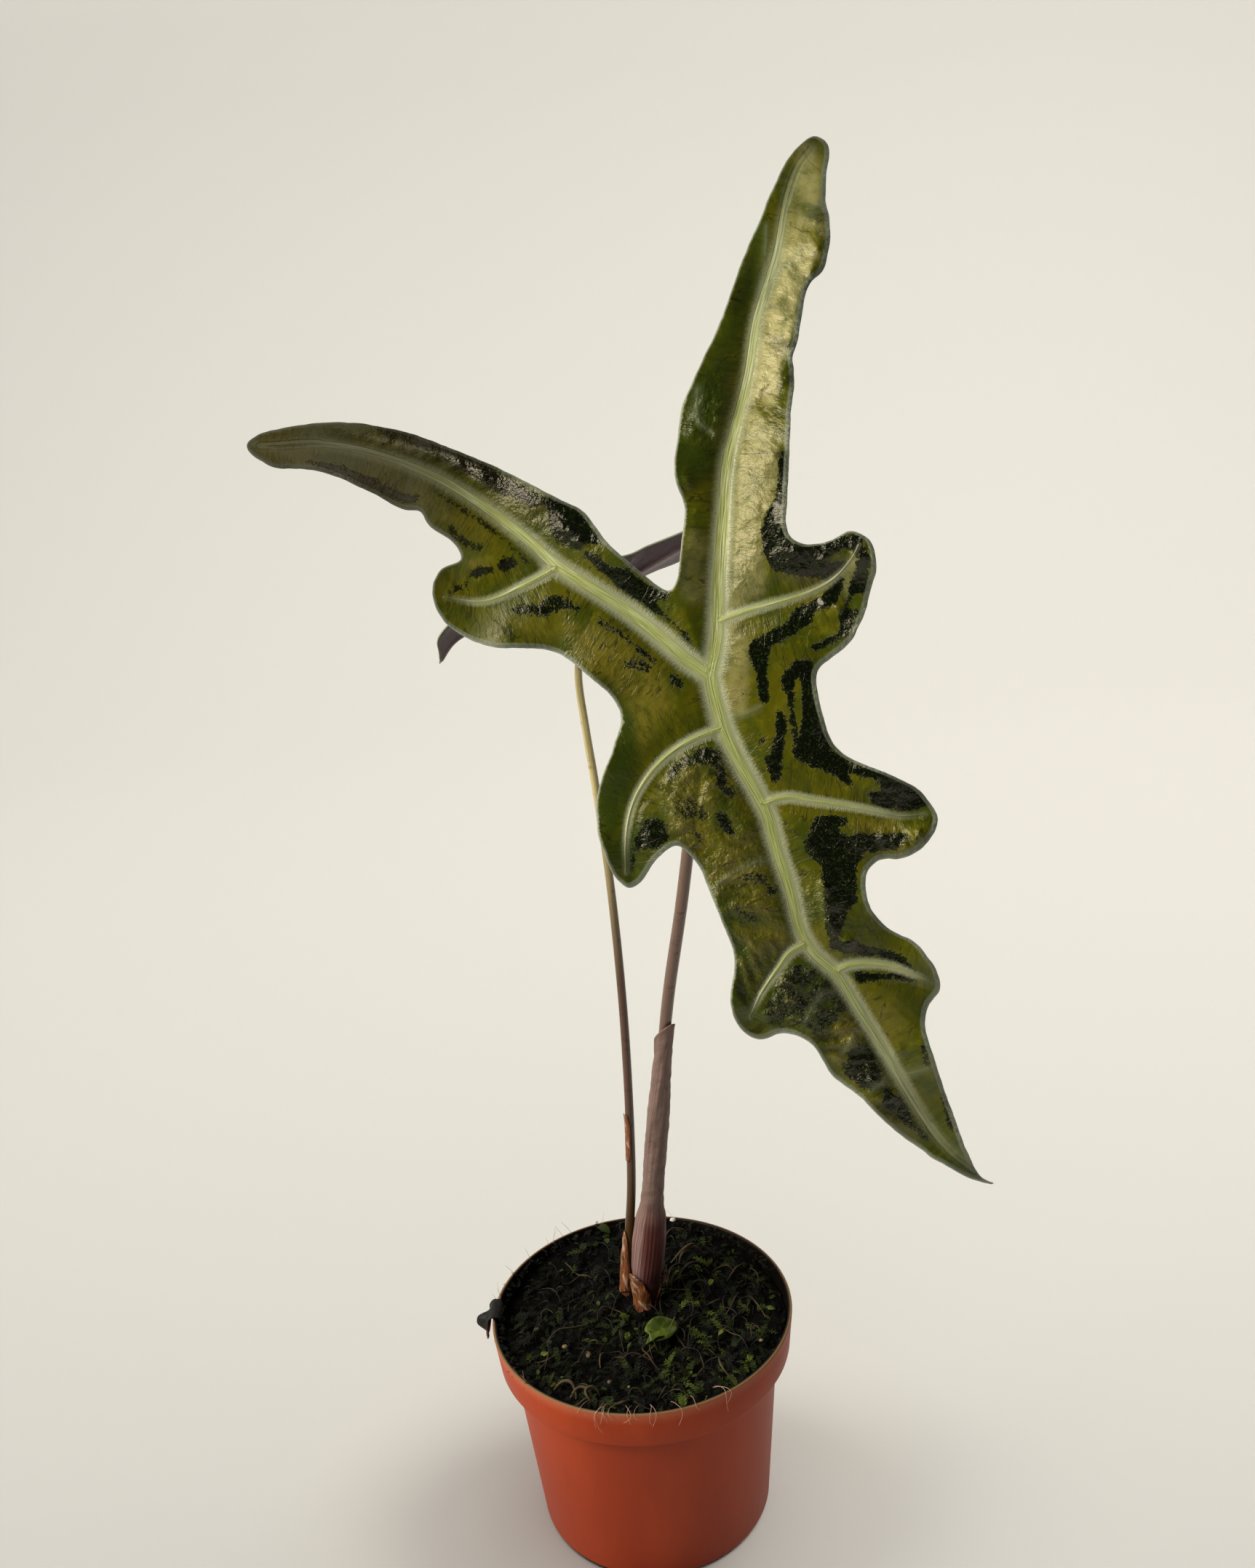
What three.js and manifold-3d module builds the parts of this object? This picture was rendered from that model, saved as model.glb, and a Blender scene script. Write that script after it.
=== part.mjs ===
// A young potted alocasia: one large lobed leaf and one small leaf on slender stalks, standing
// in potting soil in a plain round nursery pot. Millimetres, +Z up. The origin is the middle of
// the pot's flat underside, and the front of the plant faces -Y.

import * as THREE from "three";
import { mergeVertices } from "three/addons/utils/BufferGeometryUtils.js";
import Module from "manifold-3d";

const wasm = await Module();
wasm.setup();

// Driving dimensions of the pot.
const potHeight = 70;
const rimRadius = 45;
const footRadius = 35;
const wallThickness = 1.2;
const floorThickness = 1.6;
const collarHeight = 12;
const collarTaper = 1.2;
const ledgeHeight = 3;
const ledgeInset = 4;
const footRounding = 2;
const lipRounding = 0.4;
const potSides = 48;
const drainHoleRadius = 3;
const drainCircleRadius = 24;
const drainHoles = 8;

// Driving dimensions of the soil and of what stands in it.
const soilTop = 65;
const mossBump = 0.6;
const soilBackRise = 3;
const soilFrontRise = 1.2;
const soilLeftDip = 1.4;
const stemDepth = 12;
const clearance = 0.3;

// Driving dimensions of the large leaf. It leans back and is turned a little in its own plane.
const leafLean = THREE.MathUtils.degToRad(20.85);
const leafTurn = THREE.MathUtils.degToRad(4.56);
const leafJoint = new THREE.Vector3(29.8, -30, 275.5);
const bladeThickness = 0.75;
const ribHeight = 0.45;
const keelHeight = 1.3;
const ribHalfWidth = 1.7;
const sideRibHalfWidth = 1.1;

// The large leaf's relief rises along straight lines that meet at this point in front of it, so
// that its lobed outline stays true when it is seen from there.
const viewPoint = new THREE.Vector3(8.2, -396.5, 389.1);

// Driving dimensions of the stalks.
const frontStalkRadius = 1.7;
const frontStalkTopRadius = 1.65;
const rearStalkRadius = 1.45;
const rearStalkTopRadius = 1.05;
const sheetThickness = 0.6;

const colours = {
  pot: 0x9c4228,
  soil: 0x14140a,
  leaf: 0x5c5a10,
  underside: 0x4b3a42,
  stalk: 0x6b5347,
  sheath: 0x6b4a4c,
  papery: 0x9a6038,
  seedling: 0x4c6b18,
  scrap: 0x2a2a24,
};

const object = new THREE.Group();

function addPiece(name, geometry, colour, roughness) {
  const material = new THREE.MeshStandardMaterial({ color: colour, roughness, metalness: 0 });
  const mesh = new THREE.Mesh(geometry, material);
  mesh.name = name;
  object.add(mesh);
}

// Small helpers on geometry.

function welded(geometry) {
  const bare = geometry.clone();
  bare.deleteAttribute("normal");
  bare.deleteAttribute("uv");
  return mergeVertices(bare, 1e-4);
}

function solidOf(geometry) {
  const closed = welded(geometry);
  return new wasm.Manifold(new wasm.Mesh({
    numProp: 3,
    vertProperties: new Float32Array(closed.attributes.position.array),
    triVerts: new Uint32Array(closed.index.array),
  }));
}

function geometryOf(solid) {
  const mesh = solid.getMesh();
  const geometry = new THREE.BufferGeometry();
  geometry.setAttribute("position", new THREE.BufferAttribute(mesh.vertProperties, 3));
  geometry.setIndex(new THREE.BufferAttribute(mesh.triVerts, 1));
  return geometry;
}

function geometryFrom(points, triangles) {
  const geometry = new THREE.BufferGeometry();
  const numbers = points.flatMap((p) => [p.x, p.y, p.z]);
  geometry.setAttribute("position", new THREE.Float32BufferAttribute(numbers, 3));
  geometry.setIndex(triangles.flat());
  return geometry;
}

function cylinderUp(radius, low, high, x, y, sides = 24) {
  const geometry = new THREE.CylinderGeometry(radius, radius, high - low, sides);
  geometry.rotateX(Math.PI / 2);
  geometry.translate(x, y, (low + high) / 2);
  return geometry;
}

function smoothStep(from, to, value) {
  return THREE.MathUtils.smoothstep(value, from, to);
}

// Smooth curve through hand-placed points [across, up] of a leaf, as evenly spaced plane points.
function smoothLine(points, spacing, closed = false) {
  const vectors = points.map(([u, v]) => new THREE.Vector3(u, v, 0));
  const curve = new THREE.CatmullRomCurve3(vectors, closed, "centripetal");
  curve.arcLengthDivisions = points.length * 20;
  const steps = Math.max(2, Math.round(curve.getLength() / spacing));
  const spaced = curve.getSpacedPoints(steps).map((p) => [p.x, p.y]);
  return closed ? spaced.slice(0, -1) : spaced;
}

// A round stem bent along a curve: a cylinder's rings are laid square on the curve.
function bentStem(curve, bottomRadius, topRadius, sides, steps) {
  const stem = new THREE.CylinderGeometry(topRadius, bottomRadius, 1, sides, steps);
  const frames = curve.computeFrenetFrames(steps, false);
  const places = curve.getSpacedPoints(steps);
  const position = stem.attributes.position;
  for (let i = 0; i < position.count; i += 1) {
    const step = Math.round((position.getY(i) + 0.5) * steps);
    const point = places[step].clone();
    point.addScaledVector(frames.normals[step], position.getZ(i));
    point.addScaledVector(frames.binormals[step], position.getX(i));
    position.setXYZ(i, point.x, point.y, point.z);
  }
  return welded(stem);
}

// Distance from a point to a line, both in a leaf's own plane, and how far along the line its
// nearest place is, from 0 to 1.
function distanceToLine(u, v, line, closed = false) {
  let best = Infinity;
  let along = 0;
  const pieces = closed ? line.length : line.length - 1;
  for (let i = 0; i < pieces; i += 1) {
    const [au, av] = line[i];
    const [bu, bv] = line[(i + 1) % line.length];
    const du = bu - au;
    const dv = bv - av;
    const t = THREE.MathUtils.clamp(((u - au) * du + (v - av) * dv) / (du * du + dv * dv), 0, 1);
    const distance = Math.hypot(u - au - t * du, v - av - t * dv);
    if (distance < best) {
      best = distance;
      along = (i + t) / pieces;
    }
  }
  return { distance: best, along };
}

function isInside(u, v, outline) {
  let inside = false;
  for (let i = 0, j = outline.length - 1; i < outline.length; j = i, i += 1) {
    const [au, av] = outline[i];
    const [bu, bv] = outline[j];
    if ((av > v) !== (bv > v) && u < ((bu - au) * (v - av)) / (bv - av) + au) {
      inside = !inside;
    }
  }
  return inside;
}

// Delaunay triangles of plane points, one point added at a time.
function delaunay(points) {
  const far = 5000;
  const all = [...points, [-far, -far], [far, -far], [0, far]];
  const n = points.length;

  function withCircle(a, b, c) {
    const [ax, ay] = all[a];
    const bx = all[b][0] - ax;
    const by = all[b][1] - ay;
    const cx = all[c][0] - ax;
    const cy = all[c][1] - ay;
    const d = 2 * (bx * cy - by * cx);
    const ux = (cy * (bx * bx + by * by) - by * (cx * cx + cy * cy)) / d;
    const uy = (bx * (cx * cx + cy * cy) - cx * (bx * bx + by * by)) / d;
    return { corners: d > 0 ? [a, b, c] : [a, c, b], x: ax + ux, y: ay + uy, r2: ux * ux + uy * uy };
  }

  let triangles = [withCircle(n, n + 1, n + 2)];
  for (let p = 0; p < n; p += 1) {
    const [x, y] = all[p];
    const edges = new Map();
    const kept = [];
    for (const triangle of triangles) {
      if ((x - triangle.x) ** 2 + (y - triangle.y) ** 2 >= triangle.r2) {
        kept.push(triangle);
        continue;
      }
      for (let k = 0; k < 3; k += 1) {
        const a = triangle.corners[k];
        const b = triangle.corners[(k + 1) % 3];
        if (!edges.delete(`${b},${a}`)) edges.set(`${a},${b}`, [a, b]);
      }
    }
    for (const [a, b] of edges.values()) kept.push(withCircle(a, b, p));
    triangles = kept;
  }
  return triangles.map((t) => t.corners).filter((corners) => corners.every((c) => c < n));
}

// Spacing of the points along a leaf's edge, along its ribs and in the field between them, and
// the least gap that a new point keeps.
const edgeSpacing = 2.7;
const ribSpacing = 3.1;
const fieldSpacing = 4.3;
const fieldReach = 130;
const edgeGap = 1.5;
const ribGap = 1.1;
const ribFootGap = 0.8;

// Points for a blade: its edge, its ribs with a foot on either side, and an even field between.
function bladePoints(outline, ribs) {
  const points = outline.map((p) => [...p]);

  function addPoint(u, v, gap) {
    const free = points.every(([a, b]) => Math.hypot(a - u, b - v) > gap);
    const clear = distanceToLine(u, v, outline, true).distance > edgeGap;
    if (free && clear && isInside(u, v, outline)) points.push([u, v]);
  }

  for (const rib of ribs) {
    for (const [u, v] of rib.line) addPoint(u, v, ribGap);
  }
  for (const rib of ribs) {
    rib.line.forEach(([u, v], i) => {
      const [au, av] = rib.line[Math.max(i - 1, 0)];
      const [bu, bv] = rib.line[Math.min(i + 1, rib.line.length - 1)];
      const length = Math.hypot(bu - au, bv - av);
      const reach = Math.max(ribFootGap + 0.1, ribWidthAt(rib, i / rib.line.length)) / length;
      for (const side of [-reach, reach]) {
        addPoint(u + side * (av - bv), v + side * (bu - au), ribFootGap);
      }
    });
  }
  const rowHeight = fieldSpacing * Math.sqrt(0.75);
  for (let row = -Math.ceil(fieldReach / rowHeight); row * rowHeight < fieldReach; row += 1) {
    const shift = row % 2 === 0 ? 0 : fieldSpacing / 2;
    for (let u = -fieldReach + shift; u < fieldReach; u += fieldSpacing) {
      addPoint(u, row * rowHeight, fieldSpacing * 0.62);
    }
  }
  return points;
}

// Half the width of a rib, which tapers along it.
function ribWidthAt(rib, along) {
  return rib.halfWidth * (1 - 0.6 * along);
}

// Height of the raised ribs at a point, from 0 to 1, the greatest of all ribs.
function ribRise(u, v, ribs) {
  const rises = ribs.map((rib) => {
    const { distance, along } = distanceToLine(u, v, rib.line);
    return (1 - 0.7 * along) * Math.exp(-((distance / ribWidthAt(rib, along)) ** 2));
  });
  return Math.max(...rises);
}

function ribDistance(u, v, ribs) {
  return Math.min(...ribs.map((rib) => distanceToLine(u, v, rib.line).distance));
}

// Form of a blade between its ribs: its halves fold up from the main ribs, and soft swellings
// fill the fields between all of them.
function foldAndSwell(u, v, ribs, { foldSlope, foldReach, swelling, swellingReach }) {
  const fromMain = ribDistance(u, v, ribs.filter((rib) => rib.main));
  const fromAny = ribDistance(u, v, ribs);
  return foldSlope * foldReach * (1 - Math.exp(-fromMain / foldReach))
    + swelling * (1 - Math.exp(-((fromAny / swellingReach) ** 2)));
}

// A closed blade: the same triangles on its upper and lower face, and a narrow band round its edge.
function bladeSolid(outline, ribs, upperAt, lowerAt) {
  const points = bladePoints(outline, ribs);
  const faces = delaunay(points).filter((corners) => {
    const u = corners.reduce((sum, c) => sum + points[c][0], 0) / 3;
    const v = corners.reduce((sum, c) => sum + points[c][1], 0) / 3;
    return isInside(u, v, outline);
  });
  const n = points.length;
  const vertices = [upperAt, lowerAt].flatMap((at) => points.map(([u, v]) => at(u, v)));
  const open = new Map();
  for (const [a, b, c] of faces) {
    for (const [from, to] of [[a, b], [b, c], [c, a]]) {
      if (!open.delete(`${to},${from}`)) open.set(`${from},${to}`, [from, to]);
    }
  }
  const lower = faces.map(([a, b, c]) => [c + n, b + n, a + n]);
  const band = [...open.values()].flatMap(([a, b]) => [[b, a, a + n], [b, a + n, b + n]]);
  return geometryFrom(vertices, [...faces, ...lower, ...band]);
}

// The pot: a thin moulded shell with a collar, a narrow ledge under it and holes in its floor.

const collarLow = potHeight - collarHeight;
const ledgeLow = collarLow - ledgeHeight;
const collarLowRadius = rimRadius - collarTaper;
const wallTopRadius = collarLowRadius - ledgeInset;

// Inner radius of the pot at a height, which the soil follows.
function innerRadius(z) {
  if (z >= collarLow) {
    const t = (z - collarLow) / collarHeight;
    return THREE.MathUtils.lerp(collarLowRadius, rimRadius, t) - wallThickness;
  }
  if (z >= ledgeLow) {
    const t = (z - ledgeLow) / ledgeHeight;
    return THREE.MathUtils.lerp(wallTopRadius, collarLowRadius, t) - wallThickness;
  }
  return THREE.MathUtils.lerp(footRadius, wallTopRadius, z / ledgeLow) - wallThickness;
}

function makePot() {
  const profile = [
    [0, 0],
    [footRadius - footRounding, 0],
    [footRadius - footRounding * 0.3, footRounding * 0.3],
    [THREE.MathUtils.lerp(footRadius, wallTopRadius, footRounding / ledgeLow), footRounding],
    [wallTopRadius, ledgeLow],
    [collarLowRadius, collarLow],
    [rimRadius, potHeight - lipRounding],
    [rimRadius - lipRounding, potHeight],
    [rimRadius - wallThickness + lipRounding, potHeight],
    [innerRadius(potHeight - lipRounding), potHeight - lipRounding],
    [innerRadius(collarLow), collarLow],
    [innerRadius(ledgeLow), ledgeLow],
    [innerRadius(floorThickness + 1), floorThickness + 1],
    [innerRadius(floorThickness) - 1, floorThickness],
    [0, floorThickness],
  ];
  const shell = new THREE.LatheGeometry(profile.map(([r, z]) => new THREE.Vector2(r, z)), potSides);
  shell.rotateX(Math.PI / 2);
  let solid = solidOf(shell);
  for (let i = 0; i < drainHoles; i += 1) {
    const angle = ((i + 0.5) / drainHoles) * 2 * Math.PI;
    const x = drainCircleRadius * Math.cos(angle);
    const y = drainCircleRadius * Math.sin(angle);
    solid = solid.subtract(solidOf(cylinderUp(drainHoleRadius, -1, floorThickness + 1, x, y, 16)));
  }
  return geometryOf(solid);
}

// Stalks: each rises from the soil on its own curve and turns into the underside of its leaf.

const frontStalkPath = [
  [0.6, 8.1, soilTop - stemDepth],
  [1.2, 7.9, soilTop],
  [3.4, 6.5, 86],
  [6.2, 4.3, 109],
  [9.5, 1, 136],
  [14.4, -5, 175],
  [19.9, -12, 208],
  [24.9, -19, 241.5],
  [28.4, -24, 263],
];

const rearStalkPath = [
  [-4.8, 14.3, soilTop - stemDepth],
  [-4.5, 14.5, soilTop],
  [-2.3, 15, 85],
  [-0.4, 16, 101],
  [0.9, 17.8, 125],
  [1.7, 20.5, 162],
  [1, 23, 200],
  [-1, 26, 230],
  [-3.3, 27.5, 246],
  [-3.2, 28.8, 260],
];

function pathCurve(path, lastPoints) {
  const points = [...path.map(([x, y, z]) => new THREE.Vector3(x, y, z)), ...lastPoints];
  return new THREE.CatmullRomCurve3(points, false, "centripetal");
}

// The large leaf's own axes: across, up along the blade, and out of its upper face.
const leafAcross = new THREE.Vector3(1, 0, 0);
const leafUp = new THREE.Vector3(0, Math.sin(leafLean), Math.cos(leafLean));
const leafOut = new THREE.Vector3(0, -Math.cos(leafLean), Math.sin(leafLean));
leafAcross.applyAxisAngle(leafOut, -leafTurn);
leafUp.applyAxisAngle(leafOut, -leafTurn);

const viewDistance = viewPoint.clone().sub(leafJoint).dot(leafOut);

// Outline of the large leaf, [across, up] from its joint, clockwise from the left lobe's tip.
const leftLobeUpper = [
  [-110, 54.5], [-107.5, 57], [-99.5, 59], [-89.5, 60], [-75.5, 58.5], [-62, 54], [-48, 48],
  [-35.5, 41.5], [-30.5, 39], [-24, 31], [-17, 25], [-10, 20],
];
const upperLobeLeft = [
  [-8, 22], [-6.5, 32.5], [-6, 40], [-8.5, 48], [-7.5, 57], [-6.5, 64], [-2.5, 73], [2.5, 84],
  [7.5, 98], [12.5, 109.5], [16.5, 119], [20, 124.5], [24.5, 128],
];
const upperLobeRight = [
  [28, 126], [27.5, 119], [27.5, 112.5], [28.5, 107], [27, 97], [23.5, 92.5], [22, 87],
  [21, 80.5], [19.5, 75.5], [20, 72.5], [19.5, 66], [19, 60], [18.5, 46], [18, 36],
];
const rightSideLobes = [
  [19.5, 32.5], [23, 31], [28.5, 32], [33.5, 34], [38, 32], [39.5, 26], [38.5, 21.5], [35.5, 12],
  [32.5, 7], [28.5, 4], [25.5, 1], [26, -6.5], [28.5, -15], [32, -19], [42, -23.5], [49, -27], [54, -34],
  [51, -40.5], [45.5, -43.5], [40, -44], [37, -47.5], [38, -55], [42, -60], [49, -64],
  [54, -71], [54.5, -75], [52, -78.5],
];
const leafTip = [
  [51, -83.5], [53.5, -92], [57.5, -104], [61, -113], [64.5, -119.5], [67.5, -121],
  [61.5, -119.5], [50.5, -113], [42, -106.5], [35.5, -100], [29, -95],
];
const leftSideLobes = [
  [24.5, -88], [18, -85], [11.5, -86.5], [6.5, -83], [5, -76], [6, -67.5], [4, -61],
  [0, -51.5], [-2.5, -45.5], [-7.5, -40.5], [-12, -43], [-17, -49.5], [-19.5, -50.5],
  [-23.5, -46], [-26.5, -37], [-26.5, -28], [-23, -17.5], [-21, -10.5], [-23.5, -5],
];
const leftLobeLower = [
  [-29, 0], [-36.5, 5.5], [-43, 6.5], [-50, 6.5], [-58, 9], [-64, 14], [-66, 20], [-64, 25],
  [-59, 27.5], [-61, 31.5], [-66.5, 35.5], [-69, 39], [-73, 39.5], [-82.5, 44.5], [-93, 48.5],
  [-105, 50],
];
const frontOutline = [
  ...leftLobeUpper, ...upperLobeLeft, ...upperLobeRight, ...rightSideLobes, ...leafTip,
  ...leftSideLobes, ...leftLobeLower,
];

// Main ribs of the large leaf, one into each lobe, and the side ribs that leave them.
const mainRibs = [
  [[0, 0], [1, -5], [3, -12], [6.5, -20], [11, -28], [13.5, -33], [16, -42], [19, -51],
    [21.5, -61], [24.5, -66], [30, -71], [34.5, -78], [40, -87], [50, -104], [56, -112], [63, -118]],
  [[0, 0], [-6, 4], [-13, 10], [-20, 15.5], [-27, 20], [-36.5, 26], [-42.5, 31.5], [-49.5, 37],
    [-56.5, 42], [-65, 47], [-79, 52.5], [-92.5, 55], [-107, 54.5]],
  [[0, 0], [1.5, 8], [2, 22], [3, 36], [4, 50], [5.5, 57], [9, 71], [11, 84], [13, 91],
    [16, 101], [18, 112], [21, 121], [24, 125]],
];
const sideRibs = [
  [[-36.5, 25.5], [-44, 21.5], [-54, 17.5], [-63, 18.5]],
  [[2, 13], [9.5, 15.5], [23, 19.5], [29.5, 23], [33.5, 27.5], [35.5, 31]],
  [[3, -12.5], [-4.5, -15.5], [-10.5, -19.5], [-15, -24.5], [-18.5, -31], [-20, -39], [-20, -47]],
  [[12.5, -30.5], [18, -29], [25, -30], [35, -31.5], [45.5, -33.5], [51, -33]],
  [[30, -70.5], [33, -69], [42, -69], [49, -71.5], [53, -73]],
  [[22.5, -64], [19, -66], [16, -70], [12, -76], [9.5, -81.5]],
];

function ribsFrom(lines, halfWidth, main) {
  return lines.map((points) => ({ line: smoothLine(points, ribSpacing), halfWidth, main }));
}

const frontEdge = smoothLine(frontOutline, edgeSpacing, true);
const frontRibs = [
  ...ribsFrom(mainRibs, ribHalfWidth, true),
  ...ribsFrom(sideRibs, sideRibHalfWidth, false),
];

// Form of the large leaf: lobes that arch away from their root, folds and swellings, an edge that
// waves, and an upper lobe whose right half is turned up to the light.
const leftLobeWay = [-0.895, 0.447];
const upperLobeWay = [0.17, 0.985];
const tipWay = [0.49, -0.872];
const lobeArch = 0.0042;
const tipArch = 0.0009;
const archStart = 32;
const frontForm = { foldSlope: 0.34, foldReach: 9, swelling: 1.1, swellingReach: 5 };
const edgeWave = 1.1;
const edgeWaveReach = 5;
const edgeWaveLength = 23;
const upturnSlope = 0.16;
const upturnReach = 14;

function arch(u, v, way, start, strength) {
  const along = Math.max(0, u * way[0] + v * way[1] - start);
  return -strength * along * along;
}

function frontRelief(u, v) {
  const edge = distanceToLine(u, v, frontEdge, true);
  const phase = (edge.along * frontEdge.length * edgeSpacing * 2 * Math.PI) / edgeWaveLength;
  const wave = edgeWave * Math.exp(-edge.distance / edgeWaveReach) * Math.sin(phase);
  const rightOfUpperRib = Math.max(0, u - (0.1 * v + 0.5)) * smoothStep(16, 42, v);
  const upturn = upturnSlope * Math.min(rightOfUpperRib, upturnReach);
  return arch(u, v, leftLobeWay, archStart, lobeArch) + arch(u, v, upperLobeWay, archStart, lobeArch)
    + arch(u, v, tipWay, 0, tipArch) + foldAndSwell(u, v, frontRibs, frontForm) + wave + upturn;
}

function frontLeafPoint(u, v, height) {
  const point = leafJoint.clone();
  point.addScaledVector(leafAcross, u).addScaledVector(leafUp, v);
  return point.lerp(viewPoint, height / viewDistance);
}

function makeFrontLeaf() {
  const riseAt = (u, v) => ribRise(u, v, frontRibs);
  return bladeSolid(
    frontEdge,
    frontRibs,
    (u, v) => frontLeafPoint(u, v, frontRelief(u, v) + ribHeight * riseAt(u, v)),
    (u, v) => frontLeafPoint(u, v, frontRelief(u, v) - bladeThickness - keelHeight * riseAt(u, v)),
  );
}

// The small leaf behind: it faces up and away, so its purple underside shows from the front.
const rearJoint = new THREE.Vector3(-2.7, 32.5, 279.2);
const rearUp = new THREE.Vector3(0.84, 0.541, -0.051).normalize();
const rearOut = new THREE.Vector3(-0.397, 0.677, 0.62);
rearOut.addScaledVector(rearUp, -rearOut.dot(rearUp)).normalize();
const rearAcross = new THREE.Vector3().crossVectors(rearUp, rearOut);

const rearOutline = [
  [-9.5, -40.5], [-6.5, -40.3], [-4, -39], [-2.6, -36.5], [-3, -32], [-6, -27], [-10, -21],
  [-12.5, -13], [-14, -5], [-15, 4], [-17, 12], [-20.5, 20], [-25, 29], [-29, 39], [-30.5, 46],
  [-26, 44], [-19, 38.5], [-12, 31.5], [-5.5, 22], [0, 12.5], [3.5, 18], [6.5, 24], [9.5, 31.5],
  [14, 38.5], [20, 44], [26.5, 48.5], [31, 50.5], [31, 45], [27.5, 36.5], [22.5, 27],
  [18.5, 19], [15.5, 11.5], [14.5, 4], [14.5, -5], [14, -13], [12, -22], [9.5, -30], [7.5, -37],
  [5.5, -42.5], [2.5, -44.5], [-3, -43],
];
const rearMainRibs = [
  [[0, 0], [0, -8], [0.5, -18], [1.5, -28], [1, -36], [-1.5, -40], [-6, -41.3]],
  [[0, 0], [-5, 9], [-10.5, 18], [-18, 29], [-27, 42]],
  [[0, 0], [5, 9], [10.5, 18], [18.5, 28.5], [24, 37], [29, 46]],
];
const rearSideRibs = [
  [[7, 12], [10.5, 12], [14, 14]],
  [[-7, 12], [-10.5, 12], [-14, 14]],
  [[0, -9], [6, -12], [11, -17]],
  [[0, -9], [-6, -11], [-10, -15]],
];
const rearEdge = smoothLine(rearOutline, edgeSpacing, true);
const rearRibs = [...ribsFrom(rearMainRibs, 1.2, true), ...ribsFrom(rearSideRibs, 0.8, false)];
const rearForm = { foldSlope: 0.3, foldReach: 7, swelling: 0.7, swellingReach: 4 };
const rearArchStart = 12;
const rearTipArch = 0.006;
const rearLobeArch = 0.0022;
const rearRibHeight = 0.3;
const rearKeelHeight = 0.9;

function rearRelief(u, v) {
  return foldAndSwell(u, v, rearRibs, rearForm)
    + arch(u, v, [0, -1], rearArchStart, rearTipArch) + arch(u, v, [0, 1], rearArchStart, rearLobeArch);
}

function rearLeafPoint(u, v, height) {
  const point = rearJoint.clone();
  point.addScaledVector(rearAcross, u).addScaledVector(rearUp, v);
  return point.addScaledVector(rearOut, height);
}

function makeRearLeaf() {
  const riseAt = (u, v) => ribRise(u, v, rearRibs);
  return bladeSolid(
    rearEdge,
    rearRibs,
    (u, v) => rearLeafPoint(u, v, rearRelief(u, v) + rearRibHeight * riseAt(u, v)),
    (u, v) => rearLeafPoint(u, v, rearRelief(u, v) - bladeThickness - rearKeelHeight * riseAt(u, v)),
  );
}

// Each stalk ends square on the underside of its leaf, a hair's breadth clear of the keel.
const stalkTurn = 3.3;

function stalkEnd(pointAt, keel) {
  const under = -bladeThickness - keel - clearance;
  return [pointAt(0, 0, under - stalkTurn), pointAt(0, 0, under)];
}

const frontStalk = pathCurve(frontStalkPath, stalkEnd(frontLeafPoint, keelHeight));
const rearStalk = pathCurve(rearStalkPath, stalkEnd(rearLeafPoint, rearKeelHeight));

const stalkSides = 8;
const stalkSteps = 32;

function makeStalk(curve, radius, topRadius) {
  return bentStem(curve, radius, topRadius, stalkSides, stalkSteps);
}

// The dry sheath: a thin rolled sheet round the front stalk, loose and bulging at its foot,
// open along a slit that winds round it, with a slanting upper end.
const sheetFoot = soilTop - 3;
const sheathTip = 168.5;
const sheathSlant = 9;
const sheathWidths = [
  [sheetFoot, 2.9], [68, 3.2], [74, 4.2], [81, 5], [89, 5.1], [97, 4.7], [104, 3.6], [110, 3.3],
  [124, 3.4], [136, 3.4], [148, 2.9], [158, 2.7], [sheathTip, 2.7],
];

function widthAt(table, z) {
  const next = Math.min(Math.max(table.findIndex(([height]) => height >= z), 1), table.length - 1);
  const [lowZ, lowR] = table[next - 1];
  const [highZ, highR] = table[next];
  return THREE.MathUtils.lerp(lowR, highR, smoothStep(lowZ, highZ, z));
}

// The point of a rising curve at a height above the origin.
function curveAtHeight(curve, z) {
  let low = 0;
  let high = 1;
  for (let i = 0; i < 30; i += 1) {
    const middle = (low + high) / 2;
    if (curve.getPoint(middle).z < z) low = middle;
    else high = middle;
  }
  return curve.getPoint(low);
}

// A thin closed sheet: rows and columns of points, with an outer and an inner layer of them.
function thinSheet(rows, columns, pointAt) {
  const layers = [0, 1].map((layer) => {
    const points = [];
    for (let row = 0; row <= rows; row += 1) {
      for (let column = 0; column <= columns; column += 1) {
        points.push(pointAt(row / rows, column / columns, layer));
      }
    }
    return points;
  });
  const n = layers[0].length;
  const index = (row, column) => row * (columns + 1) + column;
  const triangles = [];
  for (let row = 0; row < rows; row += 1) {
    for (let column = 0; column < columns; column += 1) {
      const a = index(row, column);
      const b = index(row, column + 1);
      const c = index(row + 1, column + 1);
      const d = index(row + 1, column);
      triangles.push([a, b, c], [a, c, d], [n + c, n + b, n + a], [n + d, n + c, n + a]);
    }
  }
  const border = [];
  for (let column = 0; column < columns; column += 1) {
    border.push([index(0, column), index(0, column + 1)]);
    border.push([index(rows, column + 1), index(rows, column)]);
  }
  for (let row = 0; row < rows; row += 1) {
    border.push([index(row, columns), index(row + 1, columns)]);
    border.push([index(row + 1, 0), index(row, 0)]);
  }
  for (const [a, b] of border) triangles.push([b, a, n + a], [b, n + a, n + b]);
  return geometryFrom(layers.flat(), triangles);
}

// A sheet rolled round a stalk, open along a slit that may wind round it as it rises.
function rolledSheet({ curve, rows, columns, slit, startAngle, twist, heightAt, outerAt }) {
  return thinSheet(rows, columns, (t, across, layer) => {
    const z = heightAt(t, across);
    const middle = curveAtHeight(curve, z);
    const angle = startAngle + twist * t + slit / 2 + across * (2 * Math.PI - slit);
    const r = outerAt(z) - layer * sheetThickness;
    return new THREE.Vector3(middle.x + r * Math.cos(angle), middle.y + r * Math.sin(angle), z);
  });
}

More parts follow.
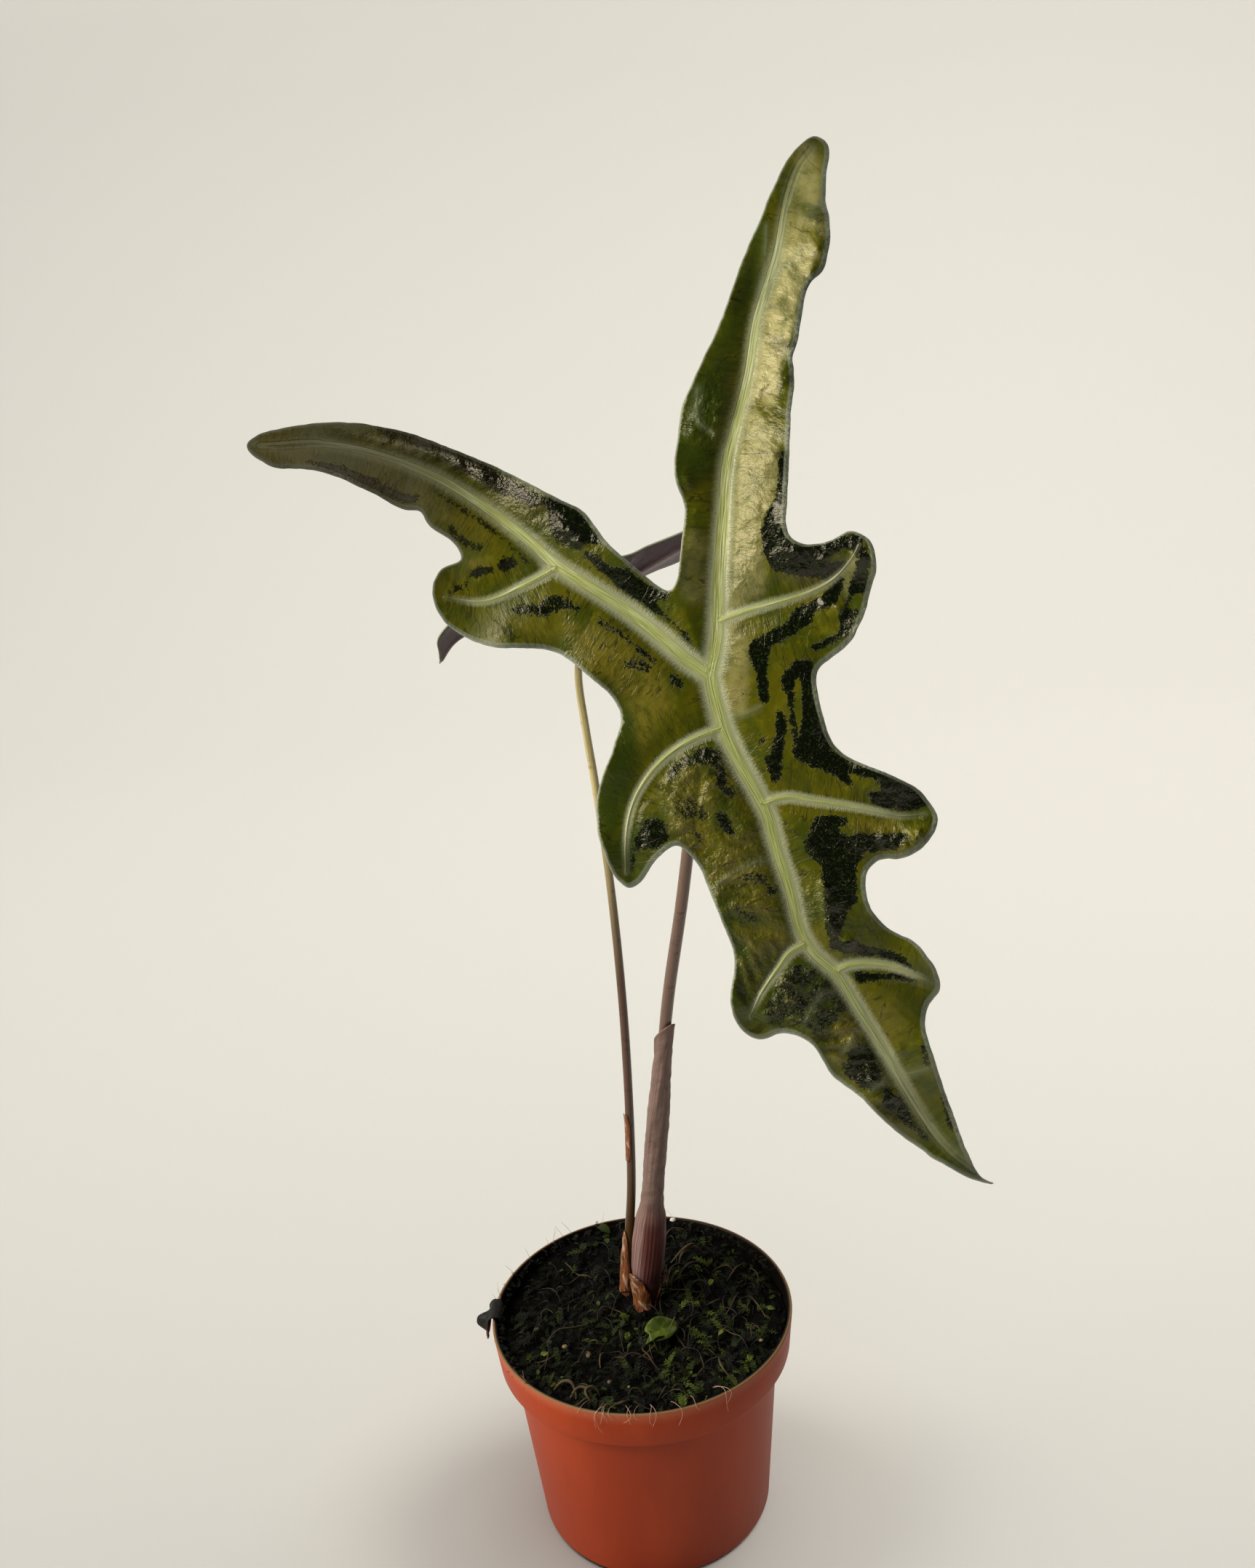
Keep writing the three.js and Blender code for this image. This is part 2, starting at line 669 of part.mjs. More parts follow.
function makeSheath() {
  return rolledSheet({
    curve: frontStalk,
    rows: 20,
    columns: 12,
    slit: 0.5,
    startAngle: 0.9,
    twist: 1.3,
    heightAt: (t, across) => THREE.MathUtils.lerp(
      sheetFoot, sheathTip - sheathSlant * (1 - Math.sin(Math.PI * across)), t,
    ),
    outerAt: (z) => widthAt(sheathWidths, z),
  });
}

// Papery scales at the foot of the stalks, each a short pointed sheet curved round its stalk.
const scaleSideHeight = 4;

function makeScale({ curve, high, facing, spread, widths }) {
  const sideTop = sheetFoot + scaleSideHeight;
  const topAt = (across) => THREE.MathUtils.lerp(sideTop, high, Math.sin(Math.PI * across) ** 0.8);
  return rolledSheet({
    curve,
    rows: 7,
    columns: 8,
    slit: 2 * Math.PI - spread,
    startAngle: facing + Math.PI,
    twist: 0,
    heightAt: (t, across) => THREE.MathUtils.lerp(sheetFoot, topAt(across), t),
    outerAt: (z) => widthAt(widths, z),
  });
}

const frontScale = {
  curve: frontStalk,
  high: 77,
  facing: THREE.MathUtils.degToRad(235),
  spread: 2.3,
  widths: [[sheetFoot, 3.8], [67.5, 3.9], [74, 5.5], [81, 6.8]],
};

const sideScale = {
  curve: frontStalk,
  high: 78,
  facing: THREE.MathUtils.degToRad(355),
  spread: 1.5,
  widths: [[sheetFoot, 3.8], [67.5, 3.9], [74, 6], [81, 7.4]],
};

const rearScale = {
  curve: rearStalk,
  high: 86,
  facing: THREE.MathUtils.degToRad(215),
  spread: 3.2,
  widths: [[sheetFoot, 2.4], [70, 2.5], [78, 2.6], [88, 2.4]],
};

const seedlingFoot = [5.5, -8.5];
const seedlingDepth = 3;

// Soil: a plug that follows the pot's inside, with a mossy, uneven top and a plain hole for
// each group of stems.
function mossHeight(x, y) {
  const waves = Math.sin(x * 0.42 + 1.3) * Math.cos(y * 0.37 - 0.6)
    + 0.6 * Math.sin(x * 0.83 - y * 0.56 + 2.1) + 0.5 * Math.cos(x * 0.31 + y * 0.94);
  const back = soilBackRise * smoothStep(0.3, 1, y / rimRadius);
  const front = soilFrontRise * smoothStep(0.3, 1, -y / rimRadius);
  const left = soilLeftDip * smoothStep(0.3, 1, -x / rimRadius);
  return soilTop + back + front - left + mossBump * waves;
}

function makeSoil() {
  const edgeRadius = innerRadius(soilTop) - clearance;
  const rings = 9;
  const bottom = floorThickness + clearance;
  const wallHeights = [bottom + 1.2, ledgeLow, collarLow];
  const profile = [new THREE.Vector2(0, bottom), new THREE.Vector2(innerRadius(bottom) - 1.5, bottom)];
  for (const z of wallHeights) profile.push(new THREE.Vector2(innerRadius(z) - clearance, z));
  for (let ring = 0; ring <= rings; ring += 1) {
    profile.push(new THREE.Vector2(edgeRadius * (1 - ring / rings), soilTop));
  }
  const plug = new THREE.LatheGeometry(profile, potSides);
  plug.rotateX(Math.PI / 2);
  const position = plug.attributes.position;
  for (let i = 0; i < position.count; i += 1) {
    if (Math.abs(position.getZ(i) - soilTop) < 0.01) {
      position.setZ(i, mossHeight(position.getX(i), position.getY(i)));
    }
  }
  let solid = solidOf(plug);
  const holes = [
    { place: frontStalkPath[1], radius: 4.5, depth: stemDepth },
    { place: rearStalkPath[1], radius: 3, depth: stemDepth },
    { place: seedlingFoot, radius: 0.9, depth: seedlingDepth },
  ];
  for (const { place, radius, depth } of holes) {
    const hole = cylinderUp(radius, soilTop - depth - clearance, soilTop + 9, place[0], place[1]);
    solid = solid.subtract(solidOf(hole));
  }
  return geometryOf(solid);
}

// A seedling in the moss: one small round leaf on a short stem.
function makeSeedling() {
  const [x, y] = seedlingFoot;
  const stem = new THREE.CatmullRomCurve3([
    new THREE.Vector3(x, y, soilTop - seedlingDepth + 0.6),
    new THREE.Vector3(x, y, soilTop + 1),
    new THREE.Vector3(x - 0.2, y - 0.8, soilTop + 3.4),
    new THREE.Vector3(x - 0.4, y - 1.8, soilTop + 4.6),
  ]);
  const blade = new THREE.SphereGeometry(1, 12, 8);
  blade.scale(3.6, 2.7, 0.45);
  blade.rotateX(THREE.MathUtils.degToRad(22));
  blade.rotateZ(THREE.MathUtils.degToRad(25));
  blade.translate(x - 0.4, y - 1.8, soilTop + 4.7);
  return geometryOf(solidOf(bentStem(stem, 0.5, 0.4, 6, 6)).add(solidOf(blade)));
}

// A withered scrap of leaf hooked over the rim on the left, crumpled outwards in the middle.
const scrapWay = THREE.MathUtils.degToRad(176);
const scrapHook = [[43, 66.5], [43, 70.1], [44.4, 71.3], [45.9, 70.4], [46.6, 66], [47.3, 61.5]];
const scrapCrumple = 3.4;
const scrapFoot = 1;
const scrapSwell = 3.4;

function makeScrap() {
  const hook = new THREE.CatmullRomCurve3(scrapHook.map(([r, z]) => new THREE.Vector3(r, 0, z)));
  return thinSheet(14, 6, (t, across, layer) => {
    const point = hook.getPoint(t);
    const tangent = hook.getTangent(t);
    const halfWidth = scrapFoot + scrapSwell * Math.sin(Math.PI * Math.min(0.9, 0.12 + t * 0.95));
    const crumple = scrapCrumple * Math.sin(Math.PI * across) ** 2 * smoothStep(0.45, 0.62, t)
      * (1 - smoothStep(0.7, 0.95, t));
    const rise = layer * sheetThickness;
    const r = point.x - tangent.z * rise + crumple;
    const along = (across - 0.5) * 2 * halfWidth;
    const place = new THREE.Vector3(r, along, point.z + tangent.x * rise);
    return place.applyAxisAngle(new THREE.Vector3(0, 0, 1), scrapWay);
  });
}

addPiece("pot", makePot(), colours.pot, 0.35);
addPiece("soil", makeSoil(), colours.soil, 1);
addPiece("front_stalk", makeStalk(frontStalk, frontStalkRadius, frontStalkTopRadius), colours.stalk, 0.5);
addPiece("front_sheath", makeSheath(), colours.sheath, 0.8);
addPiece("front_leaf", makeFrontLeaf(), colours.leaf, 0.3);
addPiece("rear_stalk", makeStalk(rearStalk, rearStalkRadius, rearStalkTopRadius), colours.stalk, 0.5);
addPiece("rear_leaf", makeRearLeaf(), colours.underside, 0.4);
addPiece("front_scale", makeScale(frontScale), colours.papery, 0.8);
addPiece("side_scale", makeScale(sideScale), colours.papery, 0.8);
addPiece("rear_scale", makeScale(rearScale), colours.papery, 0.8);
addPiece("seedling", makeSeedling(), colours.seedling, 0.5);
addPiece("withered_scrap", makeScrap(), colours.scrap, 0.9);

export default object;
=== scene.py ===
# %% [markdown]
# # A young alocasia in its nursery pot
#
# The plant has one large, glossy, lobed leaf with pale ribs and near-black blotches, and a small
# leaf behind it that shows its purple underside. Both stand on slender stalks in mossy soil.
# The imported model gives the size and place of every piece. This lesson gives each of them its
# fine surface: first the helpers, then the camera, the light, and one piece at a time.

# %% Load the frame
import math
from functools import partial

import bmesh
import bpy
import numpy as np
from mathutils import Matrix, Vector, noise
from mathutils.geometry import delaunay_2d_cdt


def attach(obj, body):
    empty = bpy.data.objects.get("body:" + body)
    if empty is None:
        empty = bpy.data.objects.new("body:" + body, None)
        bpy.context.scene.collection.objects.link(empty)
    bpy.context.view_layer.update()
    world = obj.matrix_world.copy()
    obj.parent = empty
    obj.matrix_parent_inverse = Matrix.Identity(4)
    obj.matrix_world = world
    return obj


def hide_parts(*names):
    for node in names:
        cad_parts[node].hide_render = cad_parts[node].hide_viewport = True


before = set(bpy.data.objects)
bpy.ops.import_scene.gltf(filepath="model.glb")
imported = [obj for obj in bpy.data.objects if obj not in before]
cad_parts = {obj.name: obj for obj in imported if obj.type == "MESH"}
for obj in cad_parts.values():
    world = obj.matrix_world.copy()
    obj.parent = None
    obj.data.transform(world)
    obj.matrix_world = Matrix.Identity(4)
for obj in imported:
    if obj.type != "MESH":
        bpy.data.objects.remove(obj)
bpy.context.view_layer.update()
print("nodes:", ", ".join(sorted(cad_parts)))

# %% [markdown]
# Plants are measured in millimetres and Blender works in metres, so lengths in this lesson are
# written in millimetres and turned to metres as a mesh is made. Colours are picked as sRGB hex
# values, as in any paint program, and shaders want them linear.

# %% Units, colours and nodes
MM = 0.001


def colour(hex_code):
    """An sRGB hex colour as linear red, green, blue and alpha."""
    parts = [int(hex_code[i:i + 2], 16) / 255 for i in (1, 3, 5)]
    linear = [p / 12.92 if p <= 0.04045 else ((p + 0.055) / 1.055) ** 2.4 for p in parts]
    return (*linear, 1.0)


# In millimetres: a pattern on Object coordinates with blobs of 22 mm has the scale METRE / 22.
METRE = 1000

# Each kind of node: Blender's name for it, the sockets that the values go to in turn, the socket
# that is read, and its usual settings. Any other kind is an operation of the Math node. A step
# takes a value, where it begins and ends, and what it gives there if that isn't 0 and 1.
node_kinds = {
    "attribute": ("Attribute", (), "Fac", {}),
    "vector": ("Attribute", (), "Vector", {}),
    "place": ("TexCoord", (), "Object", {}),
    "x": ("SeparateXYZ", (0,), "X", {}),
    "y": ("SeparateXYZ", (0,), "Y", {}),
    "z": ("SeparateXYZ", (0,), "Z", {}),
    "stretch": ("VectorMath", (0, 1), 0, {"operation": "MULTIPLY"}),
    "length": ("VectorMath", (0,), "Value", {"operation": "LENGTH"}),
    "noise": ("TexNoise", ("Vector", "Scale", "Detail", "Roughness"), "Fac", {}),
    "mix": ("Mix", (6, 7, 0), 2, {"data_type": "RGBA"}),
    "between": ("Mix", (2, 3, 0), 0, {"data_type": "FLOAT"}),
    "step": ("MapRange", (0, 1, 2, 3, 4), 0, {"interpolation_type": "SMOOTHSTEP"}),
    "range": ("MapRange", (0, 1, 2, 3, 4), 0, {}),
    "ramp": ("ValToRGB", ("Fac",), "Color", {}),
    "bump": ("Bump", ("Strength", "Distance", "Height"), "Normal", {}),
    "surface": ("BsdfPrincipled", (), "BSDF", {}),
    "output": ("OutputMaterial", ("Surface",), None, {}),
    "camera ray": ("LightPath", (), "Is Camera Ray", {}),
    "background": ("Background", ("Color", "Strength"), 0, {}),
    "either": ("MixShader", (0, 1, 2), 0, {}),
}


def add_node(material, kind, *values, stops=(), **settings):
    """Adds a shader node and returns its result; values are constants, hex colours or sockets."""
    name, sockets, result, usual = node_kinds.get(kind, ("Math", (0, 1), 0, {"operation": kind}))
    new_node = material.node_tree.nodes.new("ShaderNode" + name)
    for setting, value in {**usual, **settings}.items():
        setattr(new_node, setting, value)
    for socket, value in zip(sockets, values):
        if isinstance(value, bpy.types.NodeSocket):
            material.node_tree.links.new(value, new_node.inputs[socket])
        else:
            new_node.inputs[socket].default_value = colour(value) if isinstance(value, str) else value
    for _ in stops[2:]:
        new_node.color_ramp.elements.new(0.5)
    for k, (place, code) in enumerate(stops):
        new_node.color_ramp.elements[k].position = place
        new_node.color_ramp.elements[k].color = colour(code)
    return new_node.outputs[result] if new_node.outputs else new_node


def feed(value, shader, name):
    """Joins a value or colour to one of a shader's inputs."""
    shader.id_data.links.new(value, shader.inputs[name])


def new_material(name, inputs):
    """A material whose surface has some inputs set, that surface, and what adds nodes to it."""
    material = bpy.data.materials.new(name)
    material.use_nodes = True
    material.node_tree.nodes.clear()
    surface = add_node(material, "surface")
    for socket, value in inputs.items():
        surface.node.inputs[socket].default_value = value
    add_node(material, "output", surface)
    return material, surface.node, partial(add_node, material)


# %% [markdown]
# ## Camera and light
#
# The plant was seen from its front and a little above, by a camera that was turned a few degrees.
# A camera could be placed by eye, but this one was fitted to the rim, the side and the foot of
# the pot, because a pot's round rim shows how a camera stands better than any leaf does.

# %% Camera
view_point = (8.2, -396.5, 389.1)
camera_place = Vector(view_point) * MM
camera_pitch = math.radians(20.85)
camera_roll = math.radians(-4.56)
image_height = 2156
focal_pixels = 2214


def add_object(name, data):
    """A new object in the scene, with a mesh, a curve, a lamp or a camera as its data."""
    added = bpy.data.objects.new(name, data)
    bpy.context.scene.collection.objects.link(added)
    return added


camera_data = bpy.data.cameras.new("photo_camera")
camera_data.sensor_fit = "VERTICAL"
camera_data.sensor_height = 36.0
camera_data.lens = camera_data.sensor_height * focal_pixels / image_height
camera = add_object("photo_camera", camera_data)
facing = Matrix.Rotation(math.pi / 2 - camera_pitch, 4, "X")
camera.matrix_world = (
    Matrix.Translation(camera_place) @ facing @ Matrix.Rotation(camera_roll, 4, "Z")
)
bpy.context.scene.camera = camera
print("camera axes:", [tuple(round(x, 4) for x in camera.matrix_world.col[i][:3]) for i in range(3)])

# %% [markdown]
# The pot stands on a roll of pale paper that curves up behind it, as in a studio. A floor and an
# upright plane would meet in a line, so it is one smooth strip of quads with a quarter-round bend.

# %% Backdrop
backdrop_half_width = 1.6
backdrop_front = -0.9
backdrop_bend = 0.75
bend_radius = 0.55
backdrop_height = 2.2


def make_backdrop():
    """A paper sweep: floor, quarter-round bend and upright end, in one smooth strip."""
    profile = [(backdrop_front, 0.0)]
    for step in range(13):
        angle = step / 12 * math.pi / 2
        y = backdrop_bend + bend_radius * math.sin(angle)
        profile.append((y, bend_radius * (1 - math.cos(angle))))
    profile.append((backdrop_bend + bend_radius, backdrop_height))
    mesh = bpy.data.meshes.new("backdrop")
    points = [(x, y, z) for y, z in profile for x in (-backdrop_half_width, backdrop_half_width)]
    quads = [(2 * i, 2 * i + 1, 2 * i + 3, 2 * i + 2) for i in range(len(profile) - 1)]
    mesh.from_pydata(points, [], quads)
    mesh.shade_smooth()
    return add_object("backdrop", mesh)


backdrop = make_backdrop()
backdrop_paper = new_material("pale_backdrop_paper", {
    "Base Color": colour("#b7b6b3"), "Roughness": 0.9, "Specular IOR Level": 0.1,
})[0]
backdrop.data.materials.append(backdrop_paper)

# %% [markdown]
# Two soft lamps light the plant: one as large as a window on the left, and a smaller one higher
# up. Only the parts of the leaf that turn to them mirror them, so those shine pale gold and the
# blotches beside them stay black. A sun would be simpler, but its shadows are hard. Three more
# lamps light the paper alone, through light linking. The sky is dim as a light, and pale where
# the camera sees it.

# %% Lamps and sky


def add_lamp(name, place, target, size, power, tint):
    """A soft lamp at a place, in metres, that faces a target; size is its width and height."""
    lamp_data = bpy.data.lights.new(name, "AREA")
    lamp_data.shape = "RECTANGLE"
    lamp_data.size, lamp_data.size_y = size
    lamp_data.energy = power
    lamp_data.color = colour(tint)[:3]
    lamp = add_object(name, lamp_data)
    lamp.location = place
    lamp.rotation_euler = (Vector(target) - Vector(place)).to_track_quat("-Z", "Y").to_euler()
    return lamp


leaf_middle = (0.02, -0.02, 0.25)
paper_middle = (0.0, 1.3, 0.5)
plant_lamps = [
    add_lamp("window_lamp", (-1.0, -0.25, 0.91), leaf_middle, (0.75, 1.05), 20.0, "#fff7ea"),
    add_lamp("upper_pane", (-0.72, -0.66, 1.16), leaf_middle, (0.38, 0.44), 7.2, "#fff7ea"),
]
paper_lamps = [
    add_lamp("left_paper_lamp", (-0.9, 0.35, 1.5), paper_middle, (1.0, 1.0), 20.2, "#fffbf2"),
    add_lamp("right_paper_lamp", (0.9, 0.35, 1.5), paper_middle, (1.0, 1.0), 24.2, "#fffbf2"),
    add_lamp("floor_lamp", (0.4, -0.1, 1.7), (0.3, 0.1, 0.0), (1.8, 1.8), 24.5, "#fffbf2"),
]
for title, state, lamps in (
    ("only_paper", "INCLUDE", paper_lamps), ("all_but_paper", "EXCLUDE", plant_lamps),
):
    lit = bpy.data.collections.new(title)
    lit.objects.link(backdrop)
    lit.collection_objects[0].light_linking.link_state = state
    for lamp in lamps:
        lamp.light_linking.receiver_collection = lit

sky = bpy.data.worlds.new("soft_studio_air")
sky.use_nodes = True
dim_sky = sky.node_tree.nodes["Background"]
dim_sky.inputs["Color"].default_value = colour("#eef0ee")
dim_sky.inputs["Strength"].default_value = 0.065
seen_sky = add_node(sky, "background", "#dedbd1", 1.0)
to_camera = add_node(sky, "camera ray")
sky_light = add_node(sky, "either", to_camera, dim_sky.outputs["Background"], seen_sky)
feed(sky_light, sky.node_tree.nodes["World Output"], "Surface")
bpy.context.scene.world = sky
bpy.context.scene.view_settings.view_transform = "Standard"
print("lamps:", ", ".join(lamp.name for lamp in plant_lamps + paper_lamps))

# %% [markdown]
# ## Leaves
#
# A blade is a thin sheet with a lobed outline. It could be sculpted from a grid, but then no edge
# of the mesh would follow a rib or the margin. So its points are laid out in the leaf's own flat
# plane first: along the outline, in rows beside each rib, and in an even field between. A
# Delaunay triangulation joins them, and formulas lift the flat sheet into its form.

# %% Lines in the leaf's plane


def smooth_line(points, spacing, closed=False):
    """Evenly spaced points on a smooth curve through given ones (centripetal Catmull-Rom)."""
    p = np.array(points, float)
    if closed:
        p = np.vstack([p[-1], p, p[0], p[1]])
    else:
        p = np.vstack([2 * p[0] - p[1], p, 2 * p[-1] - p[-2]])
    fine = []
    for a, b, c, d in zip(p, p[1:], p[2:], p[3:]):
        t1 = np.linalg.norm(b - a) ** 0.5
        t2 = t1 + np.linalg.norm(c - b) ** 0.5
        t3 = t2 + np.linalg.norm(d - c) ** 0.5
        t = np.linspace(t1, t2, 16, endpoint=False)[:, None]
        a1 = (t1 - t) / t1 * a + t / t1 * b
        a2 = (t2 - t) / (t2 - t1) * b + (t - t1) / (t2 - t1) * c
        a3 = (t3 - t) / (t3 - t2) * c + (t - t2) / (t3 - t2) * d
        b1 = (t2 - t) / t2 * a1 + t / t2 * a2
        b2 = (t3 - t) / (t3 - t1) * a2 + (t - t1) / (t3 - t1) * a3
        fine.append((t2 - t) / (t2 - t1) * b1 + (t - t1) / (t2 - t1) * b2)
    fine.append(p[-2][None])
    fine = np.vstack(fine)
    along = np.concatenate([[0], np.cumsum(np.linalg.norm(np.diff(fine, axis=0), axis=1))])
    steps = max(2, round(along[-1] / spacing))
    wanted = np.linspace(0, along[-1], steps + 1)
    line = np.stack([np.interp(wanted, along, fine[:, k]) for k in range(fine.shape[1])], axis=1)
    return line[:-1] if closed else line


def nearest_on_line(points, line, closed=False):
    """For each point: distance to the line, length along it to there, and side (+1 left, -1 right)."""
    ends = np.roll(line, -1, axis=0) if closed else line[1:]
    starts = line if closed else line[:-1]
    way = ends - starts
    length = np.linalg.norm(way, axis=1)
    begin = np.concatenate([[0], np.cumsum(length)[:-1]])
    distance = np.empty(len(points))
    along = np.empty(len(points))
    side = np.empty(len(points))
    for first in range(0, len(points), 4000):
        part = points[first:first + 4000]
        offset = part[:, None] - starts[None]
        t = np.clip((offset * way).sum(2) / length ** 2, 0, 1)
        gap = offset - t[..., None] * way
        far = np.hypot(gap[..., 0], gap[..., 1])
        best = far.argmin(1)
        rows = np.arange(len(part))
        distance[first:first + 4000] = far[rows, best]
        along[first:first + 4000] = begin[best] + t[rows, best] * length[best]
        cross = way[best, 0] * offset[rows, best, 1] - way[best, 1] * offset[rows, best, 0]
        side[first:first + 4000] = np.where(cross < 0, -1, 1)
    return distance, along, side


# %% Inside, steps and noise


def is_inside(points, outline):
    """For each point: whether a closed outline holds it."""
    inside = np.zeros(len(points), bool)
    for (au, av), (bu, bv) in zip(outline, np.roll(outline, 1, axis=0)):
        crosses = (av > points[:, 1]) != (bv > points[:, 1])
        if av != bv:
            inside ^= crosses & (points[:, 0] < (bu - au) * (points[:, 1] - av) / (bv - av) + au)
    return inside


def smooth_step(value, low, high):
    t = np.clip((value - low) / (high - low), 0, 1)
    return t * t * (3 - 2 * t)


def soft_noise(points, size, seed=0.0):
    """Smooth noise from about -1 to 1, with blobs of about size millimetres, at flat points."""
    return np.array([noise.noise((u / size, v / size, seed)) for u, v in points]) * 1.6


# %% [markdown]
# No formula gives this leaf's lobes, so its outline and its ribs are points that were read off,
# in millimetres across and up from the place where the stalk meets the blade.

# %% Outline of the large leaf
left_lobe_upper = [
    (-110, 54.5), (-107.5, 57), (-99.5, 59), (-89.5, 60), (-75.5, 58.5), (-62, 54), (-48, 48),
    (-35.5, 41.5), (-30.5, 39), (-24, 31), (-17, 25), (-10, 20),
]
upper_lobe_left = [
    (-8, 22), (-6.5, 32.5), (-6, 40), (-8.5, 48), (-7.5, 57), (-6.5, 64), (-2.5, 73), (2.5, 84),
    (7.5, 98), (12.5, 109.5), (16.5, 119), (20, 124.5), (24.5, 128),
]
upper_lobe_right = [
    (28, 126), (27.5, 119), (27.5, 112.5), (28.5, 107), (27, 97), (23.5, 92.5), (22, 87), (21, 80.5),
    (19.5, 75.5), (20, 72.5), (19.5, 66), (19, 60), (18.5, 46), (18, 36),
]
right_side_lobes = [
    (19.5, 32.5), (23, 31), (28.5, 32), (33.5, 34), (38, 32), (39.5, 26), (38.5, 21.5), (35.5, 12),
    (32.5, 7), (28.5, 4), (25.5, 1), (26, -6.5), (28.5, -15), (32, -19), (42, -23.5), (49, -27),
    (54, -34), (51, -40.5), (45.5, -43.5), (40, -44), (37, -47.5), (38, -55), (42, -60), (49, -64),
    (54, -71), (54.5, -75), (52, -78.5),
]
leaf_tip = [
    (51, -83.5), (53.5, -92), (57.5, -104), (61, -113), (64.5, -119.5), (67.5, -121), (61.5, -119.5),
    (50.5, -113), (42, -106.5), (35.5, -100), (29, -95),
]
left_side_lobes = [
    (24.5, -88), (18, -85), (11.5, -86.5), (6.5, -83), (5, -76), (6, -67.5), (4, -61), (0, -51.5),
    (-2.5, -45.5), (-7.5, -40.5), (-12, -43), (-17, -49.5), (-19.5, -50.5), (-23.5, -46), (-26.5, -37),
    (-26.5, -28), (-23, -17.5), (-21, -10.5), (-23.5, -5),
]
left_lobe_lower = [
    (-29, 0), (-36.5, 5.5), (-43, 6.5), (-50, 6.5), (-58, 9), (-64, 14), (-66, 20), (-64, 25),
    (-59, 27.5), (-61, 31.5), (-66.5, 35.5), (-69, 39), (-73, 39.5), (-82.5, 44.5), (-93, 48.5),
    (-105, 50),
]
front_outline = (
    left_lobe_upper + upper_lobe_left + upper_lobe_right + right_side_lobes
    + leaf_tip + left_side_lobes + left_lobe_lower
)
print("outline of the large leaf:", len(front_outline), "points read off")

# %% Ribs and thin veins of the large leaf
tip_rib = [
    (0, 0), (1, -5), (3, -12), (6.5, -20), (11, -28), (13.5, -33), (16, -42), (19, -51), (21.5, -61),
    (24.5, -66), (30, -71), (34.5, -78), (40, -87), (50, -104), (56, -112), (63, -118),
]
left_rib = [
    (0, 0), (-6, 4), (-13, 10), (-20, 15.5), (-27, 20), (-36.5, 26), (-42.5, 31.5), (-49.5, 37),
    (-56.5, 42), (-65, 47), (-79, 52.5), (-92.5, 55), (-107, 54.5),
]
upper_rib = [
    (0, 0), (1.5, 8), (2, 22), (3, 36), (4, 50), (5.5, 57), (9, 71), (11, 84), (13, 91), (16, 101),
    (18, 112), (21, 121), (24, 125),
]
front_side_ribs = [
    [(-36.5, 25.5), (-44, 21.5), (-54, 17.5), (-63, 18.5)],
    [(2, 13), (9.5, 15.5), (23, 19.5), (29.5, 23), (33.5, 27.5), (35.5, 31)],
    [(3, -12.5), (-4.5, -15.5), (-10.5, -19.5), (-15, -24.5), (-18.5, -31), (-20, -39), (-20, -47)],
    [(12.5, -30.5), (18, -29), (25, -30), (35, -31.5), (45.5, -33.5), (51, -33)],
    [(30, -70.5), (33, -69), (42, -69), (49, -71.5), (53, -73)],
    [(22.5, -64), (19, -66), (16, -70), (12, -76), (9.5, -81.5)],
]
thin_veins = [
    [(15.5, -44), (11, -44.5), (7.5, -46), (4, -48), (1.5, -50.5)],
    [(30, -75), (27, -76), (25, -78), (22.5, -82.5)],
    [(36, -84), (33.5, -87), (31.5, -90)],
    [(42.5, -95), (40, -97.5), (38, -99)],
    [(46.5, -95), (50, -94), (53, -93)],
    [(14, 93), (19, 98.5), (22.5, 101.5), (25.5, 99.5)],
    [(-3, 68), (-3, 62), (-2, 59.5), (1, 57.5)],
    [(12, 91), (13, 98), (13.5, 107)],
    [(5, -10), (9, -9), (12, -7.5)],
]

# %% [markdown]
# A rib is a thick cord of veins that stands out above the blade and as a keel below it. Its ridge
# is crisp only where the mesh has rows of points along it, so each rib brings rows of its own,
# and the even field of points keeps a little away from them.

# %% Ribs and the points of a blade
rib_spacing = 0.8


def make_ribs(main_lines, side_lines, main_half_width, side_half_width):
    """Ribs as smooth lines, each with the half width that it has at its root."""
    ribs = []
    for lines, half_width, is_main in (
        (main_lines, main_half_width, True), (side_lines, side_half_width, False),
    ):
        for points in lines:
            line = smooth_line(points, rib_spacing)
            length = np.linalg.norm(np.diff(line, axis=0), axis=1).sum()
            ribs.append({"line": line, "length": length, "half_width": half_width, "main": is_main})
    return ribs


def rib_rows(rib):
    """Rows of points along a rib, close together across it, so that its ridge is crisp."""
    line = rib["line"]
    way = np.gradient(line, axis=0)
    way /= np.linalg.norm(way, axis=1)[:, None]
    across = np.stack([-way[:, 1], way[:, 0]], axis=1)
    taper = 1 - 0.6 * np.linspace(0, 1, len(line))[:, None]
    rows = [line]
    for offset in (0.35, 0.7, 1.1, 1.6, 2.3):
        for sign in (-1, 1):
            rows.append(line + sign * offset * rib["half_width"] * taper * across)
    return np.vstack(rows)


def spread_out(groups):
    """Points of several groups in turn, left out where one nearer than the group's gap stands."""
    cell = 1.0
    taken = {}
    kept = []
    for points, gap in groups:
        for u, v in points:
            i, j = math.floor(u / cell), math.floor(v / cell)
            near = (q for a in (-1, 0, 1) for b in (-1, 0, 1) for q in taken.get((i + a, j + b), ()))
            if all(math.hypot(q[0] - u, q[1] - v) >= gap for q in near):
                taken.setdefault((i, j), []).append((u, v))
                kept.append((u, v))
    return np.array(kept)


